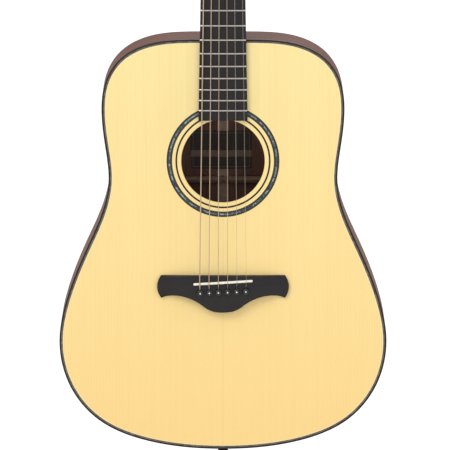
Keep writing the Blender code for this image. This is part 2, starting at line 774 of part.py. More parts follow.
def post_hole_cutter(radius, low, high):
    tools = []
    for _, _, x, y in post_places():
        hole = turned("hole", [(radius, low), (radius, high)], ROUND_SIDES)
        tools.append(move_mesh(hole, Matrix.Translation((x, y, 0))))
    return joined_tools("cut_post_holes", tools)


def neck_and_headstock(frame):
    neck = neck_shaft()
    head = prism("headstock_blank", head_outline(), -HEAD_THICK, 0.0)
    head.parent = frame
    combine(neck, head, "UNION")
    holes = post_hole_cutter(POST_RADIUS + 0.0004, -0.02, 0.01)
    holes.parent = frame
    combine(neck, holes)
    channel = box("cut_truss_channel", (-TRUSS_RADIUS - GAP, -0.001, BODY_TOP_Z + 0.004),
                  (TRUSS_RADIUS + GAP, TRUSS_AXIS_Y + TRUSS_RADIUS + GAP, 0.002))
    combine(neck, channel)
    room = TRUSS_NUT_RADIUS + 0.0011
    pocket = box("cut_truss_pocket", (-room, -0.006, 0.001), (room, TRUSS_AXIS_Y + room, 0.018))
    combine(neck, pocket)


def truss_rod():
    """Rod under the fretboard with a slimmer threaded end, and its adjusting nut in the pocket."""
    profile = [(TRUSS_RADIUS, BODY_TOP_Z + 0.006), (TRUSS_RADIUS, 0.0022), (0.0016, 0.0022), (0.0016, 0.0078)]
    rod = turned("truss_rod", profile, ROUND_SIDES, "steel")
    move_mesh(rod, Matrix.Translation((0, TRUSS_AXIS_Y, 0)))
    nut = turned("truss_rod_nut", [(TRUSS_NUT_RADIUS, 0.0030), (TRUSS_NUT_RADIUS, 0.0140)], 6, "steel", False)
    bore = turned("cut_truss_thread", [(0.0020, 0.0010), (0.0020, 0.0085)], ROUND_SIDES)
    socket = turned("cut_truss_socket", [(0.0018, 0.0100), (0.0018, 0.0160)], 6)
    for piece in (nut, bore, socket):
        piece.location = (0, TRUSS_AXIS_Y, 0)
    combine(nut, bore)
    combine(nut, socket)


def veneer_and_cover(frame):
    veneer = prism("headstock_veneer", head_outline(0.0004, 1), GAP, GAP + VENEER_THICK, "ebony")
    window = box("cut_cover_window", (-0.0052, 0.0, -0.001), (0.0052, 0.0205, 0.005))
    holes = post_hole_cutter(POST_RADIUS + 0.0004, -0.001, 0.005)
    low = 2 * GAP + VENEER_THICK
    cover = prism("truss_rod_cover", cover_outline(), low, low + COVER_THICK, "ebony")
    for piece in (veneer, window, holes, cover):
        piece.parent = frame
    combine(veneer, window)
    combine(veneer, holes)


def cover_outline():
    """Bell shape that widens towards the nut."""
    right = [(0.0115, 0.0030), (0.0120, 0.0060), (0.0105, 0.0120), (0.0075, 0.0200), (0.0052, 0.0280),
             (0.0042, 0.0330), (0.0022, 0.0352)]
    return right + [(-x, y) for x, y in right[::-1]]


def nut():
    """Bone nut with one slot for each string."""
    rings = []
    for i in range(7):
        x = (NUT_HALF - 0.0001) * (i / 3 - 1)
        crown = camber(x) - NUT_SLOT_HEIGHT - 0.0008
        rings.append([(x, -GAP, -NUT_THICK), (x, crown, -NUT_THICK), (x, crown, -0.0030),
                      (x, crown + 0.0016, -GAP), (x, -GAP, -GAP)])
    piece = loft("nut", rings, "bone")
    slots = []
    for share, radius in zip(string_shares(), STRING_RADII):
        x = share * SPREAD_AT_NUT
        half = radius + GAP
        slots.append(box("slot", (x - half, -0.012, -0.01), (x + half, camber(x) - NUT_SLOT_HEIGHT, 0.01)))
    combine(piece, joined_tools("cut_nut_slots", slots))


# Tuners. The worm is a right-handed screw along X on the nut side of the gear.

def gear_outline(turn):
    """Tooth outline with a gap facing the worm, turned by a small angle."""
    points = []
    pitch = 2 * math.pi / GEAR_TEETH
    for tooth in range(GEAR_TEETH):
        centre = -math.pi / 2 + (tooth + 0.5) * pitch + turn
        for radius, share in ((GEAR_ROOT, -0.27), (GEAR_OUTER, -0.15), (GEAR_OUTER, 0.15), (GEAR_ROOT, 0.27)):
            angle = centre + share * pitch
            points.append((radius * math.cos(angle), radius * math.sin(angle)))
    return points


def tuner_post(number, x, y, frame):
    """String post with its gear; its own Z is the hinge axis."""
    twist = math.atan(WORM_PITCH / (2 * math.pi * 0.0023)) * (GEAR_THICK / 2) / 0.0040
    low, high = GEAR_LEVEL - GEAR_THICK / 2, GEAR_LEVEL + GEAR_THICK / 2
    rings = [[(px, py, level) for px, py in gear_outline(turn)] for turn, level in ((-twist, low), (twist, high))]
    post = loft(f"tuner_post_{number}", rings, "nickel")
    profile = [(0.0022, low - 0.0008), (0.0022, low + 0.0010), (POST_RADIUS, low + 0.0011),
               (POST_RADIUS, POST_HIGH - 0.0006), (POST_RADIUS - 0.0006, POST_HIGH)]
    shaft = turned(f"post_shaft_{number}", profile, ROUND_SIDES)
    combine(post, shaft, "UNION")
    for piece in (post, shaft):
        piece.parent = frame
        piece.location = (x, y, 0)


def worm(name):
    """Screw thread along X: rows of profile points that climb by one pitch in each turn."""
    sides, per_turn = FEW_SIDES, 4
    shape = ((-0.27, WORM_CORE), (-0.12, WORM_OUTER), (0.12, WORM_OUTER), (0.27, WORM_CORE))
    first = -(WORM_TURNS + 1) // 2
    rows = []
    for turn in range(first, first + WORM_TURNS):
        rows += [((turn + share) * WORM_PITCH, radius) for share, radius in shape]
    rows.append((rows[0][0] + WORM_TURNS * WORM_PITCH, WORM_CORE))
    bm = bmesh.new()
    grid = []
    for along, radius in rows:
        row = []
        for side in range(sides):
            angle = 2 * math.pi * side / sides
            x = along + WORM_PITCH * side / sides
            row.append(bm.verts.new((x, radius * math.cos(angle), radius * math.sin(angle))))
        grid.append(row)
    for k in range(len(grid) - 1):
        for side in range(sides - 1):
            bm.faces.new((grid[k][side], grid[k + 1][side], grid[k + 1][side + 1], grid[k][side + 1]))
        if k + 1 + per_turn < len(grid):
            bm.faces.new((grid[k][-1], grid[k + 1][-1], grid[k + 1 + per_turn][0], grid[k + per_turn][0]))
    start = [grid[k][0] for k in range(per_turn, 0, -1)] + grid[0]
    finish = grid[-1] + [grid[k][-1] for k in range(len(grid) - 2, len(grid) - 2 - per_turn, -1)]
    for edge, reach in ((start, -0.0006), (finish, 0.0006)):
        ends = [v.co.x for v in edge]
        tip = bm.verts.new(((min(ends) if reach < 0 else max(ends)) + reach, 0, 0))
        for i in range(len(edge)):
            bm.faces.new((edge[i], edge[(i + 1) % len(edge)], tip))
    return make_object(name, bm)


def tuner_knob(number, sign, x, y, frame):
    """Button, shaft and worm in one; its own X is the hinge axis."""
    start = KNOB_START - POST_ACROSS
    sizes = [(-0.0070, SHAFT_RADIUS, SHAFT_RADIUS), (start, SHAFT_RADIUS, SHAFT_RADIUS),
             (start + 0.0004, 0.0030, 0.0030), (start + 0.0030, 0.0032, 0.0030),
             (start + 0.0050, 0.0072, 0.0034), (start + 0.0100, 0.0090, 0.0038),
             (start + 0.0150, 0.0074, 0.0034), (start + KNOB_LONG, 0.0035, 0.0018)]
    rings = []
    for along, wide, deep in sizes:
        rings.append([(sign * along, wide * math.cos(a), deep * math.sin(a))
                      for a in (2 * math.pi * (i + 0.5) / FEW_SIDES for i in range(FEW_SIDES))])
    knob = loft(f"tuner_knob_{number}", rings, "pearl_button", smooth=True)
    thread = worm(f"worm_{number}")
    combine(knob, thread, "UNION", "MANIFOLD")
    for piece in (knob, thread):
        piece.parent = frame
        piece.location = (x, y - WORM_OFFSET, GEAR_LEVEL)


def tuner_plate(name, sign, frame):
    """Strip behind the headstock with two bearing lugs for each worm."""
    x = sign * POST_ACROSS
    low, high = PLATE_TOP - TUNER_PLATE_THICK, PLATE_TOP
    plate = box(name, (x - 0.0075, POST_ALONG[0] - 0.016, low), (x + 0.0075, POST_ALONG[2] + 0.012, high), "nickel")
    lugs, holes = [], []
    for y in POST_ALONG:
        for face in LUG_FACES:
            lugs.append(box("lug", (x + face, y - WORM_OFFSET - 0.0024, low - 0.0054),
                            (x + face + LUG_THICK, y - WORM_OFFSET + 0.0024, low + 0.0004)))
        bore = turned("bore", [(SHAFT_RADIUS + 2 * GAP, -0.008), (SHAFT_RADIUS + 2 * GAP, 0.008)], FEW_SIDES)
        turn = Matrix.Translation((x, y - WORM_OFFSET, GEAR_LEVEL)) @ Matrix.Rotation(math.pi / 2, 4, "Y")
        holes.append(move_mesh(bore, turn))
        hole = turned("hole", [(POST_RADIUS + GAP, low - 0.001), (POST_RADIUS + GAP, high + 0.001)], ROUND_SIDES)
        holes.append(move_mesh(hole, Matrix.Translation((x, y, 0))))
    ears = joined_tools(f"lugs_{name}", lugs)
    cut = joined_tools(f"cut_{name}", holes)
    for piece in (plate, ears, cut):
        piece.parent = frame
    combine(plate, ears, "UNION")
    combine(plate, cut)


# Strings.

def wrap_points(radius, sign, x, y):
    """Two turns round the post in the headstock's frame, climbing from the taut side."""
    steps, turns = FEW_SIDES, 2
    reach = (POST_RADIUS + GAP + radius) / math.cos(math.pi / steps) + 0.00005
    start = 0.0 if sign < 0 else math.pi
    points = []
    for i in range(steps * turns + 1):
        angle = start - sign * 2 * math.pi * i / steps
        level = 0.0058 + (2 * radius + 0.0003) * i / steps
        points.append(HEAD_FRAME @ Vector((x + reach * math.cos(angle), y + reach * math.sin(angle), level)))
    return points


def string_route(number, share, radius, sign, post_x, post_y):
    """Ball end under the bridge plate, up beside the pin, over saddle and nut, round the post."""
    pin_x, pin_z = pin_place(share)
    lift = GAP + radius
    slot_z = pin_z + STRING_BEHIND_PIN
    saddle_x = share * SPREAD_AT_SADDLE
    saddle_z = from_tail(SADDLE_FROM_TAIL) + SADDLE_SLOPE * saddle_x
    nut_x = share * SPREAD_AT_NUT
    nut_y = camber(nut_x) - NUT_SLOT_HEIGHT - lift
    bridge_top = -GAP - BRIDGE_THICK
    return [Vector((pin_x, 0.0095, slot_z)), Vector((pin_x, bridge_top + 0.0004, slot_z)),
            Vector((pin_x, bridge_top - 0.0006, slot_z + 0.0006)),
            Vector((saddle_x, camber(saddle_x) - SADDLE_HEIGHT - lift, saddle_z)),
            Vector((nut_x, nut_y, -NUT_THICK)), Vector((nut_x, nut_y, GAP)),
            *wrap_points(radius, sign, post_x, post_y)]


def tube_rings(route, radius, sides):
    """Rings along a route, mitred at its bends and never twisted between them."""
    rings = []
    directions = [(b - a).normalized() for a, b in zip(route, route[1:])]
    up = directions[0].orthogonal().normalized()
    for i, point in enumerate(route):
        before = directions[max(i - 1, 0)]
        after = directions[min(i, len(directions) - 1)]
        if i:
            up = before.rotation_difference(after) @ up if i > 1 else up
        tangent = (before + after).normalized()
        first = (up - up.dot(after) * after).normalized()
        second = after.cross(first)
        ring = []
        for side in range(sides):
            angle = 2 * math.pi * side / sides
            offset = radius * (math.cos(angle) * first + math.sin(angle) * second)
            offset = offset - after * (offset.dot(tangent) / after.dot(tangent))
            ring.append(point + offset)
        rings.append(ring)
        up = first
    return rings


def strings():
    for (number, sign, x, y), share, radius in zip(post_places(), string_shares(), STRING_RADII):
        route = string_route(number, share, radius, sign, x, y)
        rings = tube_rings(route, radius, 5)
        ball = route[0]
        down = Vector((0, 1, 0))
        balls = []
        for offset, size in ((0.0044, 0.0007), (0.0036, 0.0015), (0.0010, 0.0015), (0.0002, 0.0009)):
            balls.append([ball + down * offset + (p - ball) * (size / radius) for p in rings[0]])
        loft(f"string_{number}", balls + rings, "bronze" if number > 2 else "steel", smooth=True)


def clear_scene():
    for obj in list(bpy.data.objects):
        bpy.data.objects.remove(obj, do_unlink=True)


def main():
    clear_scene()
    frame = head_empty()
    body()
    bridge()
    saddle()
    bridge_pins()
    neck_and_headstock(frame)
    truss_rod()
    veneer_and_cover(frame)
    fretboard()
    nut()
    for number, sign, x, y in post_places():
        tuner_post(number, x, y, frame)
        tuner_knob(number, sign, x, y, frame)
    tuner_plate("tuner_plate_bass", -1, frame)
    tuner_plate("tuner_plate_treble", 1, frame)
    strings()


main()
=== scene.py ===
"""Looks of the steel-string acoustic guitar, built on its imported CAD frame.

Frame, in metres: +Z runs up the neck, +X to the treble side, and the soundboard faces -Y.
"""

import math

import bmesh
import bpy
import numpy as np
from mathutils import Matrix, Vector


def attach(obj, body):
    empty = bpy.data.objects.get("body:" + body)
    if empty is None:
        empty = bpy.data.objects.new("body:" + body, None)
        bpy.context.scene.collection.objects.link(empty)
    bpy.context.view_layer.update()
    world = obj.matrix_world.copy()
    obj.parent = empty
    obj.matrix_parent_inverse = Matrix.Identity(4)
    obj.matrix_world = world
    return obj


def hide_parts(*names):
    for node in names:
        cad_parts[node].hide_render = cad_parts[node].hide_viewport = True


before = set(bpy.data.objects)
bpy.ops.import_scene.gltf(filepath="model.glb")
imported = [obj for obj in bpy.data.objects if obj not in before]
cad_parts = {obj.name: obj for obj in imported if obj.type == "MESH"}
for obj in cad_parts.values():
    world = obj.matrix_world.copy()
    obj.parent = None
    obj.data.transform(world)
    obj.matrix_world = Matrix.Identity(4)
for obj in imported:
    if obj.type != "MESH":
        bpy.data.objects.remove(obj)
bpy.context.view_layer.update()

GAP = 0.0003
SCALE_LENGTH = 0.650
FRET_COUNT = 20
BODY_FRET = 14
NUT_THICK = 0.006
NUT_HALF = 0.0215
BODY_LENGTH = 0.495
BODY_HALF = 0.1965
DEPTH_AT_NECK = 0.100
DEPTH_AT_TAIL = 0.125
BACK_ARCH = 0.004
PLATE = 0.0028
SIDE = 0.002
BINDING_HIGH = 0.006
SOUNDBOARD_INSET = 0.0044
RIM_POINTS = 400

SOUNDHOLE_FROM_TAIL = 0.3489
SOUNDHOLE_RADIUS = 0.050
RING_SIDES = 192

BOARD_THICK = 0.0062
BOARD_END_FROM_TAIL = 0.398
BOARD_END_HALF = 0.0294
CAMBER_RADIUS = 0.406

NECK_DEPTH_AT_NUT = 0.0150
NECK_DEPTH_AT_HEEL = 0.0175
HEEL_DEPTH = 0.099
HEEL_CAP = 0.0016
HEEL_CAP_LONG = 0.018
HEEL_CURVE_LONG = 0.062
HEEL_CAP_HALF = 0.0115
NECK_SIDES = 40
HEAD_TILT = math.radians(14)
HEAD_THICK = 0.014
VENEER_THICK = 0.0017
COVER_THICK = 0.0018

STRING_RADII = (0.00015, 0.0002, 0.0003, 0.0004, 0.00053, 0.00067)
SPREAD_AT_NUT = 0.038
SPREAD_AT_SADDLE = 0.056
SPREAD_AT_PINS = 0.0548
NUT_SLOT_HEIGHT = 0.0082
SADDLE_HEIGHT = 0.0114
SADDLE_FROM_TAIL = 0.203
SADDLE_SLOPE = 0.0589
SADDLE_HALF = 0.0356
SADDLE_THICK = 0.003
PINS_FROM_TAIL = 0.1915
PIN_SLOPE = 0.038
PIN_RADIUS = 0.0023
PIN_HEAD_RADIUS = 0.0039
STRING_BEHIND_PIN = 0.0034
BRIDGE_THICK = 0.009
BRIDGE_HALF = 0.079
BRIDGE_TOP_FROM_TAIL = 0.2112

POST_ALONG = (0.042, 0.082, 0.122)
POST_ACROSS = 0.0215
POST_RADIUS = 0.003
POST_HIGH = 0.0145
GEAR_TEETH = 14
WORM_PITCH = 0.0018
WORM_OUTER = 0.0026
WORM_CORE = 0.0017
WORM_TURNS = 3
GEAR_OUTER = 0.00435
GEAR_ROOT = 0.0036
GEAR_THICK = 0.003
GEAR_LEVEL = -0.0185
WORM_OFFSET = 0.0064
SHAFT_RADIUS = 0.0014
KNOB_START = 0.0420
KNOB_LONG = 0.0170
PLATE_TOP = -HEAD_THICK - GAP
TUNER_PLATE_THICK = 0.0012
LUG_FACES = (-0.0066, 0.0040)
LUG_THICK = 0.0015

TRUSS_AXIS_Y = 0.0065
TRUSS_RADIUS = 0.0025
TRUSS_NUT_RADIUS = 0.0035

LABEL_X = -0.002
LABEL_FROM_TAIL = 0.3505
LABEL_HALF_WIDE = 0.037
LABEL_HALF_HIGH = 0.0235
LABEL_THICK = 0.0002
STRIPE_BELOW_MIDDLE = 0.0045

# How far a piece stands proud of, or is sunk into, the face that holds it.
PROUD = 0.00003
INLAY_DEEP = 0.0013
ROSETTE_DEEP = 0.0009

SPRUCE_HIGH = (0.82, 0.690, 0.306)
SPRUCE_LOW = (0.80, 0.565, 0.210)
SPRUCE_WARM = (0.79, 0.53, 0.185)
SPRUCE_LINE = (0.60, 0.37, 0.13)
SPRUCE_RAY = (1.0, 0.90, 0.62)
SPRUCE_SEAM = (0.45, 0.27, 0.10)
MATERIALS = {}

CAMERA_TILT = math.radians(7.2)
CAMERA_AWAY = 9.0
CAMERA_LENS = 600.5
TARGET_FROM_TAIL = 0.2717
FLOOR_BELOW_TAIL = 0.35
FLOOR_HALF = 400.0

# Half of the body outline: half width and distance from the tail.
BODY_SHAPE = (
    (0.0, 0.0), (0.095, 0.011), (0.149, 0.035), (0.1815, 0.072), (BODY_HALF, 0.132), (0.188, 0.1805),
    (0.1645, 0.241), (0.144, 0.2895), (0.1372, 0.3255), (0.1405, 0.362), (0.1455, 0.4105),
    (0.1398, 0.4467), (0.1237, 0.471), (0.090, 0.4893), (0.045, 0.4949), (0.0, BODY_LENGTH),
)
# Lower edge of the bridge: half width and distance below its straight upper edge.
BRIDGE_EDGE = ((0.0, 0.0446), (0.0110, 0.0436), (0.0205, 0.0394), (0.0280, 0.0340), (0.0361, 0.0295),
               (0.0470, 0.0256), (0.0583, 0.0243), (0.0680, 0.0252), (0.0742, 0.0273))
# Half of the headstock outline: half width and distance along it.
HEAD_SHAPE = ((0.0214, 0.0002), (0.0218, 0.006), (0.0238, 0.012), (0.0275, 0.018), (0.0300, 0.024),
              (0.0312, 0.034), (0.0372, 0.168), (0.0368, 0.174), (0.0345, 0.178), (0.0300, 0.1800),
              (0.0150, 0.1835), (0.0, 0.1845))


def fret_z(number):
    return -NUT_THICK - SCALE_LENGTH * (1 - 2 ** (-number / 12))


BODY_TOP_Z = fret_z(BODY_FRET)
TAIL_Z = BODY_TOP_Z - BODY_LENGTH
HOLE_Z = TAIL_Z + SOUNDHOLE_FROM_TAIL
HEAD_FRAME = Matrix.Rotation(math.pi / 2 - HEAD_TILT, 4, "X")


def from_tail(distance):
    return TAIL_Z + distance


def camber(x):
    return x * x / (2 * CAMBER_RADIUS)


def back_y(x, z):
    """Outer face of the back."""
    share = (BODY_TOP_Z - z) / BODY_LENGTH
    return DEPTH_AT_NECK + (DEPTH_AT_TAIL - DEPTH_AT_NECK) * share - BACK_ARCH * (x / BODY_HALF) ** 2


# Materials.

class Graph:
    """A Principled material, kept in MATERIALS, and short calls that add nodes to it."""

    def __init__(self, name, roughness=0.5, metallic=0.0, coat=0.0, coat_roughness=0.1, specular=0.5):
        self.material = bpy.data.materials.new(name)
        self.material.use_nodes = True
        MATERIALS[name] = self.material
        self.tree = self.material.node_tree
        self.shader = self.tree.nodes["Principled BSDF"]
        settings = {"Roughness": roughness, "Metallic": metallic, "Coat Weight": coat,
                    "Coat Roughness": coat_roughness, "Specular IOR Level": specular}
        for key, value in settings.items():
            self.shader.inputs[key].default_value = value
        self.place = self.add("TexCoord").outputs["Object"]

    def add(self, kind, inputs=None, **settings):
        node = self.tree.nodes.new("ShaderNode" + kind)
        for key, value in settings.items():
            setattr(node, key, value)
        for key, value in (inputs or {}).items():
            if isinstance(value, bpy.types.NodeSocket):
                self.tree.links.new(value, node.inputs[key])
            else:
                node.inputs[key].default_value = value
        return node

    def math(self, operation, first, second=0.0, third=0.0):
        node = self.add("Math", {0: first, 1: second, 2: third}, operation=operation)
        return node.outputs[0]

    def axes(self, vector=None):
        return self.add("SeparateXYZ", {0: vector or self.place}).outputs

    def times(self, first, second):
        return self.math("MULTIPLY", first, second)

    def away_from(self, value, middle):
        return self.math("ABSOLUTE", self.math("SUBTRACT", value, middle))

    def wave(self, value):
        """Sine of a value, moved to run between 0 and 1."""
        return self.math("MULTIPLY_ADD", self.math("SINE", value), 0.5, 0.5)

    def shifted(self, change, size, vector=None):
        """The place, or another vector, moved by a coloured noise times a size."""
        inputs = {0: change, 1: (size,) * 3, 2: vector or self.place}
        return self.add("VectorMath", inputs, operation="MULTIPLY_ADD").outputs[0]

    def vector(self, x, y, z):
        return self.add("CombineXYZ", {0: x, 1: y, 2: z}).outputs[0]

    def scaled(self, factors, vector=None):
        """The place, or another vector, times one factor or one for each axis."""
        if not isinstance(factors, tuple):
            factors = (factors,) * 3
        node = self.add("VectorMath", {0: vector or self.place, 1: factors}, operation="MULTIPLY")
        return node.outputs[0]

    def noise(self, vector, scale=1.0, detail=3.0, roughness=0.5, distortion=0.0, colour=False):
        node = self.add("TexNoise", {"Vector": vector, "Scale": scale, "Detail": detail,
                                     "Roughness": roughness, "Distortion": distortion})
        return node.outputs["Color" if colour else "Fac"]

    def ramp(self, factor, stops):
        node = self.add("ValToRGB", {0: factor})
        elements = node.color_ramp.elements
        while len(elements) < len(stops):
            elements.new(0.5)
        for element, (place, colour) in zip(elements, stops):
            element.position = place
            element.color = (*colour, 1)
        return node.outputs[0]

    def span(self, value, low, high, to_low=0.0, to_high=1.0):
        node = self.add("MapRange", {0: value, 1: low, 2: high, 3: to_low, 4: to_high})
        return node.outputs[0]

    def mix(self, factor, first, second, blend="MIX"):
        inputs = {0: factor, 6: first, 7: second}
        for key in (6, 7):
            if isinstance(inputs[key], tuple):
                inputs[key] = (*inputs[key], 1)
        node = self.add("Mix", inputs, data_type="RGBA", blend_type=blend)
        return node.outputs[2]

    def colour(self, socket):
        self.tree.links.new(socket, self.shader.inputs["Base Color"])

    def roughness(self, socket):
        self.tree.links.new(socket, self.shader.inputs["Roughness"])

    def bump(self, height, distance, strength=1.0):
        node = self.add("Bump", {"Height": height, "Distance": distance, "Strength": strength})
        self.tree.links.new(node.outputs[0], self.shader.inputs["Normal"])


def spruce():
    """Book-matched spruce: fine upright grain, tight at the seam and wider at the edges."""
    g = Graph("spruce", roughness=0.34, coat=0.35, coat_roughness=0.18, specular=0.4)
    x, _, z = g.axes()
    across = g.math("ABSOLUTE", x)

    def grain(side, side_rate, up_rate, detail=2):
        return g.noise(g.vector(g.times(side, side_rate), 0.0, g.times(z, up_rate)), detail=detail)

    warped = g.math("MULTIPLY_ADD", grain(across, 9, 2.2), 0.006, across)
    warped = g.math("MULTIPLY_ADD", grain(across, 60, 7), 0.0011, warped)
    late = g.math("POWER", g.wave(g.times(warped, g.span(across, 0.0, 0.2, 5900, 4300))), 3.0)
    uneven = grain(across, 260, 1.3, 4)
    fibre = grain(x, 2600, 34, 3)
    rays = grain(x, 240, 900)
    broad = grain(across, 13, 1.6, 3)
    height = g.span(z, from_tail(0.02), from_tail(0.46))
    base = g.mix(height, SPRUCE_LOW, SPRUCE_HIGH)
    base = g.mix(g.span(broad, 0.3, 0.7, 0.0, 0.22), base, SPRUCE_WARM)
    strength = g.times(late, g.span(uneven, 0.3, 0.7, 0.12, 0.42))
    base = g.mix(strength, base, SPRUCE_LINE)
    base = g.mix(g.span(fibre, 0.25, 0.75, 0.0, 0.07), base, SPRUCE_LINE)
    base = g.mix(g.span(rays, 0.58, 0.75, 0.0, 0.10), base, SPRUCE_RAY)
    seam = g.span(across, 0.0001, 0.0004, 0.35, 0.0)
    base = g.mix(seam, base, SPRUCE_SEAM)
    g.colour(base)
    g.roughness(g.span(late, 0.0, 1.0, 0.32, 0.42))
    g.bump(late, 0.00004, 0.5)


def wood(name, dark, light, grain, roughness=0.4, coat=0.2, pores=0.5, matched=False, specular=0.4):
    """Straight-grained wood; grain holds how fast the pattern changes along x, y and z, per metre.

    A matched wood is mirrored about x = 0.
    """
    g = Graph(name, roughness=roughness, coat=coat, coat_roughness=0.2, specular=specular)
    place = g.place
    if matched:
        x, y, z = g.axes()
        place = g.vector(g.math("ABSOLUTE", x), y, z)
    place = g.shifted(g.noise(g.scaled(7, place), detail=2, colour=True), 0.006, place)
    broad = g.noise(g.scaled(tuple(0.12 * k for k in grain), place), detail=4, roughness=0.6)
    streak = g.noise(g.scaled(grain, place), detail=4, roughness=0.65)
    fine = g.noise(g.scaled(tuple(5 * k for k in grain), place), detail=2)
    tone = g.math("MULTIPLY_ADD", g.span(broad, 0.3, 0.7), 0.5, g.times(streak, 0.5))
    middle = tuple((a + b) / 2 for a, b in zip(dark, light))
    base = g.ramp(tone, ((0.15, dark), (0.5, middle), (0.85, light)))
    speck = g.span(fine, 0.60, 0.70, 0.0, pores)
    base = g.mix(speck, base, tuple(0.45 * c for c in dark))
    g.colour(base)
    g.roughness(g.span(streak, 0.3, 0.7, roughness * 0.85, roughness * 1.2))
    g.bump(g.math("SUBTRACT", streak, speck), 0.00003, 0.6)


def shell(name, stops, scale, roughness=0.18):
    """Shell: wavy layered streaks with cells of changing colour."""
    g = Graph(name, roughness=roughness, coat=0.15, coat_roughness=0.08, specular=0.25)
    place = g.shifted(g.noise(g.scaled(scale), scale=0.5, detail=3, colour=True), 0.9 / scale)
    cells = g.add("TexVoronoi", {"Vector": place, "Scale": scale * 0.55}).outputs["Color"]
    cell = g.axes(cells)[0]
    streak = g.noise(g.scaled(scale * 2.2, place), detail=4, roughness=0.7, distortion=1.2)
    tone = g.math("MULTIPLY_ADD", g.span(streak, 0.25, 0.75), 0.6, g.times(cell, 0.4))
    g.colour(g.ramp(tone, stops))
    g.bump(streak, 0.00003, 0.3)


def metal(name, colour, roughness):
    """Bare metal with smudges and fine scratches."""
    g = Graph(name, roughness=roughness, metallic=1.0)
    smudge = g.noise(g.scaled(160), detail=4, roughness=0.6)
    scratch = g.noise(g.scaled((3000, 300, 3000)), detail=2)
    g.colour(g.mix(g.span(smudge, 0.35, 0.7, 0.0, 0.35), colour, tuple(0.78 * c for c in colour)))
    g.roughness(g.span(smudge, 0.3, 0.7, roughness - 0.04, roughness + 0.08))
    g.bump(scratch, 0.000008, 0.25)


def wound():
    """Bronze winding: fine ridges across the string, with a painted highlight on each crest and painted shade
    in the grooves between turns.
    """
    g = Graph("wound_bronze", roughness=0.30, metallic=0.75)
    turns = g.wave(g.times(g.axes()[2], 9000))
    tint = g.noise(g.scaled(40), detail=3)
    base = g.mix(g.span(tint, 0.3, 0.7), (0.52, 0.40, 0.29), (0.43, 0.32, 0.22))
    # Painted highlight and shade: the crest of each turn is coloured lighter than the groove between turns.
    g.colour(g.mix(g.times(turns, 0.35), base, (0.66, 0.50, 0.38)))
    g.bump(turns, 0.00006, 0.8)


def plain_string():
    g = Graph("plain_steel", roughness=0.24, metallic=0.8)
    tint = g.noise(g.scaled(90), detail=3)
    g.colour(g.mix(g.span(tint, 0.3, 0.7), (0.50, 0.45, 0.38), (0.42, 0.37, 0.31)))


def smooth_stuff(name, colour, other, scale, roughness, coat=0.3, subsurface=0.0):
    """Bone, plastic or pearl with a soft cloudy variation."""
    g = Graph(name, roughness=roughness, coat=coat, coat_roughness=0.15)
    cloud = g.noise(g.scaled(scale), detail=4, roughness=0.6, distortion=0.8)
    fibre = g.noise(g.scaled((scale * 8, scale * 8, scale)), detail=3)
    mixed = g.math("MULTIPLY_ADD", cloud, 0.7, g.times(fibre, 0.3))
    g.colour(g.mix(g.span(mixed, 0.35, 0.65), colour, other))
    g.roughness(g.span(fibre, 0.3, 0.7, roughness * 0.85, roughness * 1.2))
    g.bump(fibre, 0.00001, 0.4)
    g.shader.inputs["Subsurface Weight"].default_value = subsurface
    g.shader.inputs["Subsurface Scale"].default_value = 0.001


def card():
    """Blank label: dark card with a plain pale border and one plain stripe."""
    g = Graph("label_card", roughness=0.75, specular=0.25)
    x, _, z = g.axes()
    middle = from_tail(LABEL_FROM_TAIL)
    paper = g.noise(g.scaled(900), detail=3)
    base = g.mix(g.span(paper, 0.3, 0.7), (0.050, 0.042, 0.038), (0.085, 0.072, 0.064))
    stripe = g.away_from(z, middle - STRIPE_BELOW_MIDDLE)
    base = g.mix(g.span(stripe, 0.0042, 0.0036), base, (0.24, 0.17, 0.13))
    inner, outer = [], []
    for value, half in ((g.away_from(x, LABEL_X), LABEL_HALF_WIDE),
                        (g.away_from(z, middle), LABEL_HALF_HIGH)):
        inner.append(g.span(value, half - 0.0034, half - 0.0030))
        outer.append(g.span(value, half - 0.0022, half - 0.0026))
    line = g.times(g.math("MAXIMUM", *inner), g.times(*outer))
    base = g.mix(g.times(line, 0.35), base, (0.34, 0.29, 0.20))
    g.colour(base)
    g.bump(paper, 0.00002, 0.5)


